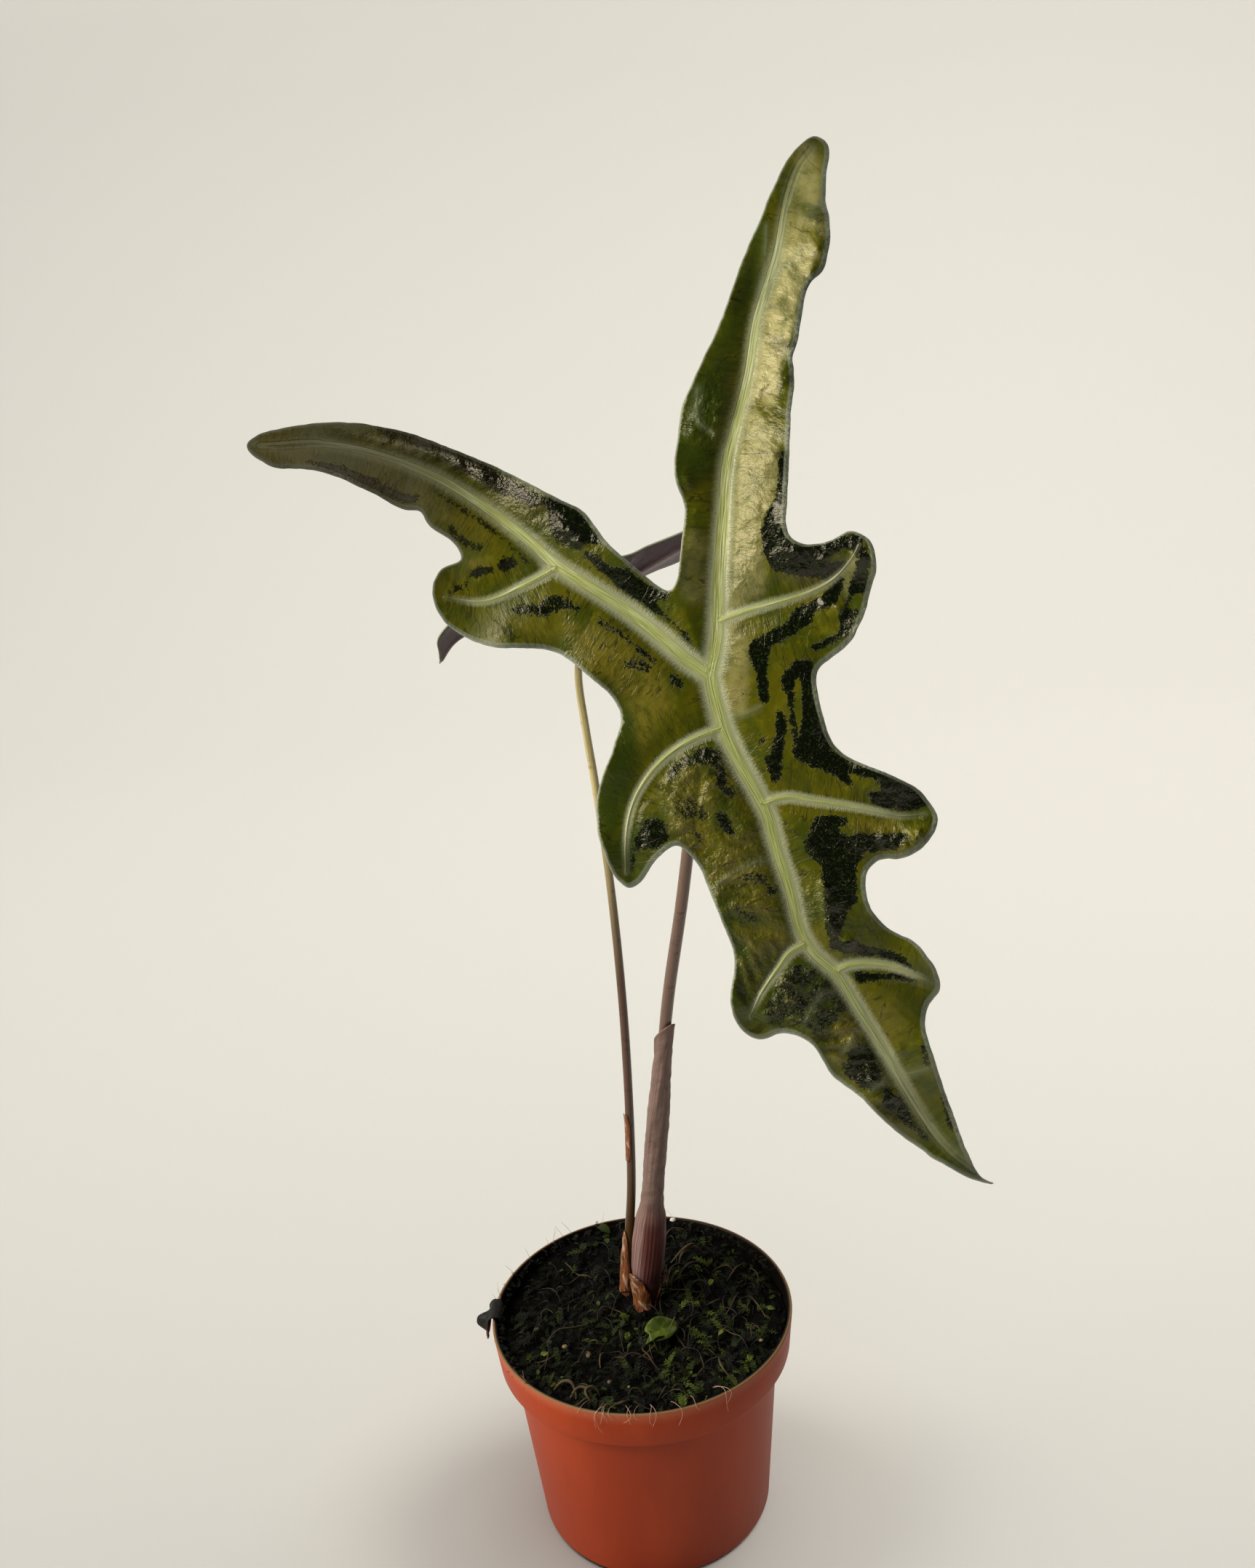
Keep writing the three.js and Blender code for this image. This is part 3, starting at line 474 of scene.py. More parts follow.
def blade_sheet(edge, ribs, spacing):
    """Flat points of a blade and the triangles that join them; the edge's points come first."""
    margin = 0.5 * spacing
    rows = np.vstack([rib_rows(rib) for rib in ribs])
    low, high = edge.min(0), edge.max(0)
    field = []
    for k, v in enumerate(np.arange(low[1], high[1], spacing * math.sqrt(0.75))):
        shift = spacing / 2 * (k % 2)
        field += [(u + shift, v) for u in np.arange(low[0], high[0], spacing)]
    groups = [(edge, 0.0)]
    for points, gap in ((rows, 0.32), (np.array(field), 0.7 * spacing)):
        points = points[is_inside(points, edge)]
        far = nearest_on_line(points, edge, closed=True)[0] > margin
        groups.append((points[far], gap))
    points = spread_out(groups)
    border = list(range(len(edge)))
    result = delaunay_2d_cdt([Vector(p) for p in points.tolist()], [], [border], 1, 1e-5)
    flat = np.array([tuple(p) for p in result[0]])
    return flat, [tuple(face) for face in result[2]]


# %% Form of the large leaf
front_ribs = make_ribs([tip_rib, left_rib, upper_rib], front_side_ribs, 1.7, 1.1)
fine_veins = make_ribs([], thin_veins, 0.0, 0.35)
leaf_spacing = 0.65


def outward(edge):
    """Unit ways out of a closed outline that runs clockwise."""
    way = np.roll(edge, -1, axis=0) - np.roll(edge, 1, axis=0)
    way /= np.linalg.norm(way, axis=1)[:, None]
    return np.stack([-way[:, 1], way[:, 0]], axis=1)


def uneven(line, strength):
    """A smooth closed outline with the slight unevenness of a grown margin."""
    wobble = 0.7 * soft_noise(line, 5.0, 3.1) + 0.3 * soft_noise(line, 1.7, 8.4)
    return line + strength * wobble[:, None] * outward(line)


front_line = smooth_line(front_outline, leaf_spacing, closed=True)
front_edge = uneven(front_line, 0.22)
front_points, front_faces = blade_sheet(front_edge, front_ribs + fine_veins, leaf_spacing)
print("large leaf:", len(front_points), "points,", len(front_faces), "triangles a side")

# %% [markdown]
# Marks follow the leaf, not the viewer, so each is a patch in the leaf's own plane: a rough
# outline and a strength. The patches are soft here. The shader breaks their borders up with
# noise, which gives the ragged, speckled look of the real blotches.

# %% Patches on the large leaf
black_patches = [
    (1.0, [(16.8, 53), (16.3, 46), (15, 41), (13, 37.5), (12.4, 34), (14.5, 25.8), (26, 23), (28.5, 22.5),
        (31, 25), (36, 31), (36, 33), (30, 32.5), (24, 30.5), (20, 31), (17.8, 34), (18, 53)]),
    (0.95, [(9, 5.5), (10, 8), (13, 9.7), (19, 13.5), (20, 15.5), (24, 17.5), (27, 19.5), (31.5, 23.5),
        (31.5, 20.5), (30, 17.5), (28, 16), (25.5, 15.3), (24, 12.3), (22, 11), (20, 9.5), (17, 8),
        (15, 7), (13.5, 1), (14, -5), (13.5, -7), (12, -6), (11.2, -3), (11.3, 0)]),
    (0.85, [(33.5, 30), (36, 31), (38, 28), (33.5, 10.5), (31, 8), (28, 6.8), (25, 5.8), (23.5, 6.8),
        (29, 9.5), (31, 11.5), (30.5, 14), (32, 16.5), (33, 19.5), (33, 22), (34.5, 25), (35, 28)]),
    (0.82, [(24.5, 4), (22, 3.8), (20, 3.5), (18.5, 1.8), (17, 0), (17, -2.5), (18.3, -4.5), (18.5, -8),
        (19.5, -14.5), (19.5, -18), (21, -20), (28, -23.5), (31, -25.5), (34, -26.5), (37, -28.5),
        (39, -31), (50, -32), (52, -30.5), (49, -27), (44, -24), (32, -19.5), (29, -16.5), (24.7, -1),
        (25, 2)]),
    (0.9, [(16, -8.5), (17.3, -9), (18, -12), (17.5, -16), (16.5, -25), (15.3, -25.5), (13, -19.5),
        (14.5, -18), (15.7, -11)]),
    (0.9, [(11.6, -14), (12.7, -14), (12.9, -16.4), (11.9, -16.6)]),
    (0.72, [(25, -33), (30, -33.5), (33, -34), (33, -35.5), (31, -37), (35, -38), (46, -38.2),
        (47, -40.5), (42, -42), (37, -43), (35, -47), (35.5, -53), (33, -57), (32, -60), (31, -64),
        (29, -64), (28, -60), (28, -54), (26.5, -49), (26, -45), (23, -43.5), (22.5, -39), (24, -36)]),
    (0.95, [(34, -37.8), (40, -37.9), (46.5, -38), (46.5, -39.5), (40, -39.5), (34, -39)]),
    (0.9, [(27, -48), (28.3, -52), (29, -60), (31.5, -64.5), (29, -65.5)]),
    (0.82, [(30, -63.5), (34, -63), (38, -64.5), (42, -65), (46, -67), (50, -71.5), (46, -69.5),
        (41, -67.5), (35, -66.5), (31, -66)]),
    (0.85, [(34, -70), (39, -71), (45, -71), (49, -72.6), (47, -73.2), (42, -72.4), (35, -73)]),
    (0.9, [(-2.5, 1.5), (-8, 11), (-12, 14), (-22, 21), (-28, 26.5), (-30, 29), (-27, 31), (-24, 30),
        (-20, 26), (-14, 21), (-10, 19.5), (-8.5, 16), (-5, 8.5)]),
    (0.78, [(-26, 31), (-33, 40.5), (-42, 43.5), (-50, 48.5), (-70, 57), (-80, 58.6), (-78, 57),
        (-70, 54.5), (-56, 47), (-50, 43), (-46, 42), (-43, 39.5), (-39, 40), (-38, 34), (-33, 30)]),
    (0.66, [(-48, 15.5), (-45, 17.2), (-41, 17.2), (-38, 19.5), (-34, 18.5), (-30, 15.5), (-35, 14.8),
        (-44, 13.8), (-47, 15)]),
    (0.62, [(-68, 44.8), (-62, 42), (-50, 34), (-46, 30), (-43, 27.5), (-42.5, 26), (-44.5, 26),
        (-46, 28.5), (-51, 33)]),
    (0.8, [(-50, 28), (-46.5, 28.2), (-45.8, 26), (-48, 24.8), (-50.5, 25)]),
    (0.75, [(-57, 24.8), (-52, 26.2), (-51.5, 24.8), (-55, 23.4), (-57.5, 23.6)]),
    (0.75, [(-61.5, 20.5), (-57.5, 22.4), (-57.5, 21), (-62, 19)]),
    (0.7, [(-62, 36), (-57, 32), (-53.5, 30.8), (-53.5, 29.8), (-58, 30.2), (-62, 33.8)]),
    (0.8, [(-96, 51), (-88, 49.8), (-72, 43), (-69.5, 42.5), (-70, 40.8), (-76, 42), (-84, 46)]),
    (0.62, [(-26, 13.6), (-15, 6), (-12, 3.5), (-13, 2.6), (-22, 9), (-27, 12)]),
    (0.62, [(-10, 0.8), (-7.5, 0), (-6, -2), (-7, -4), (-9, -3), (-10.2, -1)]),
    (0.66, [(-3, -17.5), (2, -17.5), (3.7, -21), (4.4, -25), (6.3, -28.6), (3.5, -28.8), (1.3, -26),
        (0.3, -21.5), (-3, -21.5), (-6.5, -22), (-9.5, -26), (-10, -23.5)]),
    (0.8, [(1.3, -33), (4, -33), (5.6, -36.5), (6.3, -38.4), (4, -37.6), (2, -35.5)]),
    (0.75, [(-4, -36.8), (-1.5, -39), (-0.8, -40.5), (-3, -39.5)]),
    (0.8, [(13.3, -49.8), (15, -49.8), (15.4, -52), (14, -52)]),
    (0.75, [(-15.5, -34.5), (-11, -34.5), (-9.5, -38.5), (-13, -41.5), (-17, -42), (-18.6, -47),
        (-19, -42), (-17.5, -38)]),
    (0.5, [(12.5, -80), (16, -73), (20, -68.5), (26, -70), (31, -75), (33.5, -79), (31, -82), (27, -86.5),
        (21, -84), (14, -83.3)]),
    (0.66, [(32.5, -90), (36, -87), (39.5, -90), (41, -96), (37.5, -98.5), (32, -95)]),
    (0.72, [(41, -98), (45, -100), (49, -106.5), (54.5, -113), (46, -106.7), (41, -102)]),
    (0.7, [(50, -88), (51, -93), (52.2, -93), (51, -88)]),
    (0.52, [(6, -47.5), (13, -47), (16, -49.5), (16.2, -52.5), (12, -51), (8, -50.5)]),
    (0.48, [(5.5, -54), (12, -58), (9.5, -60), (6.5, -58.5)]),
    (0.46, [(-9, -30), (-6, -28.5), (-2, -30), (0.5, -34), (-8, -34)]),
    (0.5, [(-21, 3), (-17, 5), (-13, 1.5), (-15, 0), (-19, 1)]),
    (0.66, [(55, -98), (57, -104), (59, -110), (57, -108), (55.5, -104)]),
]
olive_islands = [
    (0.9, [(27, 27.2), (30, 29.3), (34, 30), (33.5, 28), (30, 26.8)]),
    (0.8, [(33, 16), (35, 19.5), (36.2, 19), (34.5, 15.5)]),
    (0.7, [(20.3, -1), (21.4, -1), (21.3, -15), (20.3, -9)]),
    (0.7, [(33, -23.4), (38, -24.6), (41, -27), (38, -28), (34, -25.6)]),
    (0.6, [(-13, 17.2), (-9.5, 18), (-6, 10.5), (-8, 12)]),
    (0.6, [(-30, 31), (-24, 29.8), (-20, 25), (-23, 25.6), (-28, 28.6)]),
    (0.9, [(10.8, 64.5), (15, 59), (18.3, 57.5), (18.3, 60.5), (15.5, 61.8), (13, 64.5), (12, 66.5)]),
    (0.7, [(16.2, 89.5), (18.2, 89.8), (19.2, 87), (18.6, 84.8), (16.8, 86)]),
    (0.7, [(18.5, 96.5), (21, 96), (21.5, 93.5), (19.5, 93.8)]),
    (0.7, [(22, 106.2), (25, 105.8), (27, 102.5), (26, 101.5), (24, 104)]),
    (0.6, [(21.5, 112), (26.5, 111), (26.5, 108.5), (22.5, 109)]),
    (0.7, [(17, 66), (18.6, 74), (22.3, 90), (24.5, 96.5), (26, 96.5), (24, 89), (20.4, 73), (19.4, 66)]),
]
# Gold patches are partly the leaf's own yellow-green and partly painted sheen, where the lamps' reflection
# falls on the upper lobe's right half and on a few folds.
gold_and_sheen_patches = [
    (0.55, [(2, 8), (5, 30), (12, 27), (13, 20), (9, 17), (7, 12)]),
    (0.72, [(5, 27), (9, 24), (13, 27), (12.6, 34), (15, 41), (16.5, 52), (15, 60), (9.5, 68), (7, 56)]),
    (1.1, [(14, 64), (17, 73), (19, 80), (21, 90), (25, 102), (18, 102), (15.5, 92), (9.5, 66)]),
    (0.55, [(25, 100), (26.5, 116), (24.5, 125), (22, 128), (20.5, 121), (20.5, 112), (18, 100)]),
    (0.5, [(4.5, -8), (5, 3), (6.5, 10), (9, 9), (8.5, -4), (8, -9)]),
    (0.3, [(-6, 18), (-5, 34), (-1, 33), (-1, 18)]),
    (0.45, [(30, 25), (34, 30), (37, 27), (36, 20), (33.5, 18)]),
]
tan_patches = [
    (0.8, [(-110, 54.5), (-103, 59), (-101, 55), (-104, 49.5)]),
    (0.9, [(-33, 8), (-26, 12), (-19, 7), (-9, -5), (-12, -12), (-16, -18), (-18, -10), (-23, -2)]),
    (0.5, [(-48, 13), (-38, 13), (-30, 12), (-33, 8), (-44, 9.5)]),
    (0.8, [(4.5, -8), (6.5, 8), (9, 8.5), (8.5, -4), (8, -9)]),
    (1.0, [(33, -34.4), (44, -35.3), (46.5, -37.6), (40, -37.4), (34, -36.8)]),
    (0.8, [(4, -49), (7, -46.2), (12, -44.5), (15, -45.5), (16, -49), (10, -48.5)]),
    (0.9, [(6.5, -60.5), (18.5, -61.5), (19, -63.3), (12, -62.6), (7, -62)]),
    (0.5, [(7, -53), (13, -52), (17, -54), (12, -55.6)]),
    (0.6, [(-10, -33.5), (-4, -33), (1, -38), (-1, -41), (-9.6, -37)]),
    (0.7, [(-9, -26), (-2, -23), (0, -27), (1, -32), (-5, -33), (-10, -30)]),
    (0.5, [(3, -39), (12, -36.5), (13, -41), (6, -42.5)]),
    (0.9, [(28, -86), (31, -81), (35, -80.5), (37, -85), (32, -90), (30, -92)]),
    (0.6, [(-70, 45), (-48, 30), (-52, 31), (-70, 41.5)]),
    (0.8, [(-57.5, 26.2), (-53, 27.4), (-52.5, 26), (-56, 24.8)]),
    (0.5, [(40, -77), (45, -77), (47, -88), (43, -88)]),
]
# Deep green patches are partly the leaf's own dark green and partly painted shade, where halves and lobes
# turn away from the light.
deep_green_and_shade_patches = [
    (0.9, [(-8.6, 44), (-8.5, 58), (3, 86), (13, 111), (14, 104), (10, 90), (3, 62), (0.5, 48)]),
    (0.9, [(-26, -45), (-27, -28), (-23.5, -17), (-22, -5), (-16, -8), (-15, -16), (-19, -28),
        (-22, -40)]),
    (0.8, [(-19, -50), (-24, -44), (-20, -35), (-14, -32), (-9, -38), (-13, -43)]),
    (0.6, [(1, -52), (6, -51), (18, -60), (6, -59.5)]),
    (0.7, [(6, -64), (18, -64), (14, -70), (9, -78), (7, -84), (4, -77)]),
    (0.6, [(-58, 10), (-50, 8), (-40, 8), (-31, 3), (-33, 8), (-42, 11), (-52, 14), (-60, 16)]),
    (0.6, [(19, -36), (24, -35), (24, -44), (21, -44)]),
    (0.7, [(31, -60), (38, -57.5), (44, -63), (50, -68), (52, -72), (46, -66)]),
    (0.6, [(-72, 52.5), (-50, 42), (-36, 29), (-32, 28), (-50, 47), (-72, 56)]),
    (0.9, [(22, -67), (34, -80), (30, -84), (22, -85), (13, -84)]),
    (0.7, [(48, -96), (53, -95), (56, -105), (58, -111)]),
    (0.6, [(40, -72), (50, -74), (48, -80), (42, -79)]),
    (0.5, [(32, -88), (37, -86), (44, -99), (52, -110), (38, -99)]),
]


def patch_field(points, patches, feather):
    """Greatest strength of the patches at each point, fading over the feather at their borders."""
    field = np.zeros(len(points))
    for strength, corners in patches:
        outline = smooth_line(corners, 0.8, closed=True)
        low, high = outline.min(0) - feather, outline.max(0) + feather
        near = ((points > low) & (points < high)).all(1)
        if not near.any():
            continue
        distance = nearest_on_line(points[near], outline, closed=True)[0]
        signed = np.where(is_inside(points[near], outline), distance, -distance)
        field[near] = np.maximum(field[near], strength * smooth_step(signed, -feather, feather))
    return field


# %% [markdown]
# Each half of the leaf folds up from the ribs, the lobes arch back, and the fields between the ribs
# swell. Moved straight up, such points would shift the outline in the picture, so the flat sheet
# is lifted along the camera's own sight lines instead.

# %% Plane of the large leaf
leaf_joint = np.array([29.8, -30.0, 275.5])
leaf_out = Vector((0, -math.cos(camera_pitch), math.sin(camera_pitch)))
turn = Matrix.Rotation(camera_roll, 3, leaf_out)
leaf_across = turn @ Vector((1, 0, 0))
leaf_up = turn @ Vector((0, math.sin(camera_pitch), math.cos(camera_pitch)))


def place_in_leaf(points, height):
    """Points of the large leaf's plane, at heights above it, in the model's frame."""
    flat = leaf_joint + points[:, :1] * np.array(leaf_across) + points[:, 1:] * np.array(leaf_up)
    share = height / (np.dot(view_point - leaf_joint, leaf_out))
    return flat + share[:, None] * (view_point - flat)


# %% What the ribs are to each point of a blade


def rib_facts(points, ribs):
    """What the ribs are to each point: distances, place along, ridge height, core and halo."""
    facts = {name: np.full(len(points), 1e9) for name in ("main", "any", "next")}
    for name in ("along", "signed", "rise", "core", "halo", "share"):
        facts[name] = np.zeros(len(points))
    for rib in ribs:
        distance, along, side = nearest_on_line(points, rib["line"])
        share = along / rib["length"]
        width = rib["half_width"] * (1 - 0.6 * share)
        core_width = width * (0.95 if rib["main"] else 0.62)
        halo_width = (2.9 if rib["main"] else 1.8) * (1 - 0.35 * share)
        nearer = distance < facts["any"]
        facts["next"] = np.where(nearer, facts["any"], np.minimum(facts["next"], distance))
        for name, value in (
            ("any", distance), ("along", along), ("signed", distance * side), ("share", share),
        ):
            facts[name] = np.where(nearer, value, facts[name])
        if rib["main"]:
            facts["main"] = np.minimum(facts["main"], distance)
        for name, value in (
            ("rise", (1 - 0.7 * share) * np.exp(-(distance / width) ** 2)),
            ("core", np.clip(1 - distance / core_width, 0, 1)),
            ("halo", np.clip(1 - (distance - core_width) / halo_width, 0, 1)),
        ):
            facts[name] = np.maximum(facts[name], value)
    facts["steady"] = smooth_step(facts["next"] - facts["any"], 0.4, 2.5)
    return facts


# %% Fold, swell and arch


def fold_and_swell(facts, fold_slope, fold_reach, swelling, swelling_reach):
    """Height of a blade that folds up from its main ribs and swells between all its ribs."""
    fold = fold_slope * fold_reach * (1 - np.exp(-facts["main"] / fold_reach))
    return fold + swelling * (1 - np.exp(-(facts["any"] / swelling_reach) ** 2))


def arch(points, way, start, strength):
    """Height of a lobe that bends back, more and more, past a start along its way."""
    return -strength * np.maximum(0, points @ np.array(way) - start) ** 2


# %% [markdown]
# The skin puckers most beside the ribs and at the black patches, where the blade grew faster than
# its veins. Sculpting could make the folds, but it would shift the outline and couldn't be read
# from a script, so rough patches say where the skin is puckered, and noise makes the folds.

# %% Where the large leaf puckers
pucker_patches = [
    (0.9, [(6, 20), (12, 25), (13, 40), (17, 60), (19, 76), (22, 90), (26, 100), (26, 110), (20, 108),
        (14, 92), (9, 70), (6, 50)]),
    (1.0, [(-26, 28), (-36, 40), (-48, 47), (-62, 54), (-76, 58), (-90, 59), (-80, 54), (-62, 49),
        (-48, 39), (-34, 29)]),
    (1.0, [(-10, -24), (2, -17), (10, -34), (18, -56), (20, -62), (8, -80), (5, -70), (0, -52),
        (-8, -38)]),
    (1.0, [(22, -67), (28, -71), (40, -92), (52, -110), (40, -103), (30, -93), (20, -84), (13, -82),
        (16, -74)]),
    (0.8, [(22, -48), (28, -48), (34, -60), (30, -65), (25, -62)]),
    (0.9, [(14, 26), (22, 24), (34, 29), (38, 28), (36, 16), (30, 8), (38, 12), (39, 28), (34, 33),
        (24, 31), (18, 32)]),
    (0.8, [(32, -36), (46, -36), (53, -34), (50, -41), (36, -43)]),
    (0.9, [(-3, 54), (2, 54), (5, 70), (1, 73), (-3, 66)]),
]
fold_patches = [
    (1.0, [(-9, -22), (-2, -19), (4, -24), (10, -40), (15, -54), (19, -63), (13, -70), (7, -80), (5, -72),
        (3, -62), (-1, -50), (-8, -39)]),
    (1.0, [(22, -67), (28, -72), (40, -92), (52, -110), (40, -103), (30, -93), (20, -84), (13, -82),
        (16, -74)]),
    (0.45, [(6, 28), (12, 27), (14, 42), (18, 60), (20, 76), (23, 90), (26, 100), (26, 110), (21, 108),
        (15, 92), (10, 70), (7, 50)]),
    (0.5, [(-30, 30), (-36, 40), (-48, 47), (-62, 53), (-76, 58), (-80, 54), (-62, 48), (-48, 39),
        (-34, 29)]),
]
blisters = [
    (-33.8, 34.6, 2.6, 0.9), (-31, 31.8, 1.8, 0.7), (-54, 47.5, 2.6, 0.8), (-60.5, 51, 2.2, 0.7),
    (-66, 53.6, 2.2, 0.6), (27.5, -54, 1.5, 0.7), (28.4, -58.5, 1.5, 0.7), (32.7, -63.5, 1.6, 0.7),
    (27.2, -50, 1.2, 0.5), (41.2, -38.6, 1.3, 0.55), (48.9, -38.6, 2.0, 0.8), (46.6, -41.2, 1.4, 0.6),
    (44.8, -89.4, 1.5, 0.6), (26.6, -75, 1.3, 0.55), (18, -72.6, 1.3, 0.55), (12.6, -80.2, 1.2, 0.5),
    (38.8, -96.8, 1.2, 0.45), (33.8, 26.4, 1.7, 0.8), (35.4, 29.6, 1.5, 0.6), (30.5, 16, 1.6, 0.6),
    (27.5, 17.5, 1.5, 0.5), (20.5, 29.5, 1.5, 0.5), (27, 27.3, 1.4, 0.5), (31.5, -66.5, 1.1, 0.4),
    (19.5, 79, 2.0, 0.7), (21.5, 84.5, 2.2, 0.8), (23.5, 90, 2.2, 0.8), (25, 96, 2.2, 0.8),
    (26, 102.5, 2.2, 0.7), (25.5, 109.5, 2.2, 0.7), (18, 71, 2.0, 0.6), (13.5, 66, 2.4, -0.7),
    (15, 52, 2.6, 0.5), (11, 38, 2.6, 0.5), (-5.6, 46, 1.6, 0.5), (-4.6, 58, 1.8, 0.5),
    (1.5, 57, 1.0, 0.5), (2, 60.5, 1.0, 0.5), (2.6, 64, 1.0, 0.5), (28, -56, 1.2, 0.5),
    (27.5, -51.5, 1.1, 0.5), (29.5, -61, 1.3, 0.5), (44, -40, 1.2, 0.4),
]
print("puckered:", len(pucker_patches), "patches,", len(blisters), "blisters")

# %% Relief of the large leaf
left_lobe_way = (-0.895, 0.447)
left_lobe_side = (0.447, 0.895)
upper_lobe_way = (0.17, 0.985)
tip_way = (0.49, -0.872)


def front_relief(points, facts, edge):
    """Height of the large leaf's upper face above its plane, without the ridges of the ribs."""
    to_edge, along_edge, _ = nearest_on_line(points, edge, closed=True)
    u, v = points.T
    wave = 1.1 * np.exp(-to_edge / 5) * np.sin(2 * math.pi * along_edge / 23)
    far_left = smooth_step(points @ np.array(left_lobe_way), 62, 95)
    twist = 0.45 * far_left * np.clip((points + (85, -51)) @ np.array(left_lobe_side), -6, 6)
    upturn = 0.34 * np.minimum(np.maximum(0, u - 0.1 * v - 0.5) * smooth_step(v, 16, 42), 14)
    arches = (
        arch(points, left_lobe_way, 34, 0.004) + arch(points, upper_lobe_way, 32, 0.0042)
        + arch(points, tip_way, 0, 0.0009)
    )
    fold_slope = 0.34 * (0.45 + 0.55 * smooth_step(v, -15, 25)) * (1 - 0.7 * far_left)
    folded = fold_and_swell(facts, fold_slope, 9, 1.1, 5)
    return arches + folded + wave + upturn + twist


# %% Folds and blisters
blister_rise = 1.9


def folds_across(points, facts, patches):
    """Folds that run out from the ribs to the margin, about 1 at the crests, only in the patches."""
    ways = np.stack([facts["along"] + 0.5 * facts["any"], 0.3 * facts["signed"]], axis=1)
    crests = 0.75 - 1.7 * np.abs(soft_noise(ways, 3.6, 5.2)) + 0.4 * soft_noise(ways, 1.5, 2.6)
    return crests * patch_field(points, patches, 2.5) * facts["steady"]


def pucker(points, facts, edge, patches, folds, bumps):
    """Height of folds, of a finer crinkle that is stronger in the patches, and of blisters."""
    to_edge = nearest_on_line(points, edge, closed=True)[0]
    strength = 0.3 + 0.7 * patch_field(points, patches, 3.0)
    free = (1 - np.exp(-(facts["any"] / 2.2) ** 2)) * (1 - np.exp(-(to_edge / 1.5) ** 2))
    height = strength * (
        0.30 * soft_noise(points, 4.6, 1.4) + 0.16 * soft_noise(points, 2.2, 9.3)
        + 0.05 * soft_noise(points, 1.1, 4.7)
    )
    for u, v, reach, rise in bumps:
        away = np.hypot(points[:, 0] - u, points[:, 1] - v) / reach
        height += blister_rise * rise * np.exp(-away ** 2) * (1 + 0.5 * soft_noise(points, 1.3, u))
    return free * (height + 0.6 * folds)


# %% [markdown]
# A blade is about half a millimetre thick, with a rounded rim. Solidify would thicken it evenly,
# but a rib stands out more below than above, so the two faces are lifted apart, each to its own
# height. What the skins need to know of a point, such as how near a rib is, is kept with it.

# %% A blade as a closed sheet


def blade_object(name, border, faces, upper, lower, rim_swell):
    """A closed sheet: the same triangles on both faces and a rounded rim between them.

    The first points, as many as border says, run clockwise round the outline.
    """
    count = len(upper)
    middle = (upper[:border] + lower[:border]) / 2
    through = upper[:border] - lower[:border]
    out = np.cross(through, np.roll(middle, -1, axis=0) - np.roll(middle, 1, axis=0))
    out /= np.linalg.norm(out, axis=1)[:, None]
    rim = middle + rim_swell * out
    bands = []
    for i in range(border):
        j = (i + 1) % border
        bands.append((i, j, 2 * count + j, 2 * count + i))
        bands.append((2 * count + i, 2 * count + j, count + j, count + i))
    under = [tuple(count + k for k in reversed(face)) for face in faces]
    mesh = bpy.data.meshes.new(name)
    mesh.from_pydata(np.vstack([upper, lower, rim]) * MM, [], faces + bands + under)
    mesh.polygons.foreach_set("material_index", [0] * (len(faces) + len(bands)) + [1] * len(under))
    mesh.shade_smooth()
    return add_object(name, mesh)


def keep_values(mesh, name, values):
    """Keeps a number or a vector with each point of a mesh, for its shader to read."""
    kind, field = ("FLOAT", "value") if np.ndim(values) == 1 else ("FLOAT_VECTOR", "vector")
    layer = mesh.attributes.new(name, kind, "POINT")
    layer.data.foreach_set(field, np.asarray(values, np.float32).ravel())


def keep(piece, name, values, border):
    """Numbers or vectors of a blade's flat points, kept on both faces and the rim."""
    keep_values(piece.data, name, np.concatenate([values, values, values[:border]]))


def keep_blade_facts(piece, points, edge, facts, margin_width):
    """What every blade's skin needs: its plane, the ways along the ribs, and the margin."""
    border = len(edge)
    to_edge, along_edge, _ = nearest_on_line(points, edge, closed=True)
    lengths = np.linalg.norm(np.roll(edge, -1, axis=0) - edge, axis=1)
    begins = np.concatenate([[0], np.cumsum(lengths)[:-1]])
    width = np.interp(along_edge, begins, margin_width)
    flat = np.concatenate([points, np.zeros((len(points), 1))], axis=1)
    keep(piece, "plane", flat, border)
    ways = np.stack([facts["along"], facts["signed"], np.zeros(len(points))], axis=1)
    keep(piece, "rib_way", ways, border)
    keep(piece, "margin", np.minimum(to_edge / width, 9), border)
    for name in ("core", "halo", "share", "steady"):
        keep(piece, name, facts[name], border)


# %% The large leaf
blade_thickness = 0.55
front_facts = rib_facts(front_points, front_ribs)
vein_facts = rib_facts(front_points, fine_veins)
front_height = front_relief(front_points, front_facts, front_line)
front_folds = folds_across(front_points, front_facts, fold_patches)
front_height += pucker(
    front_points, front_facts, front_edge, pucker_patches, front_folds, blisters,
)
groove = 0.3 * np.exp(-((front_facts["core"] - 1) / 0.22) ** 2)
ridge = 0.45 * front_facts["rise"] * (1 - groove) + 0.1 * vein_facts["core"]
keel = 1.3 * front_facts["rise"] + 0.15 * vein_facts["core"]
front_leaf = blade_object(
    "large_leaf", len(front_edge), front_faces,
    place_in_leaf(front_points, front_height + ridge),
    place_in_leaf(front_points, front_height - blade_thickness - keel), 0.12,
)
margin_width = 0.85 + 0.55 * outward(front_edge) @ np.array([0.7, -0.7])
keep_blade_facts(front_leaf, front_points, front_edge, front_facts, margin_width)
for name, patches, feather in (
    ("black", black_patches, 1.5), ("islands", olive_islands, 0.9), ("gold", gold_and_sheen_patches, 1.6),
    ("tan", tan_patches, 2.2), ("deep", deep_green_and_shade_patches, 3.0), ("puckered", pucker_patches, 2.5),
):
    keep(front_leaf, name, patch_field(front_points, patches, feather), len(front_edge))
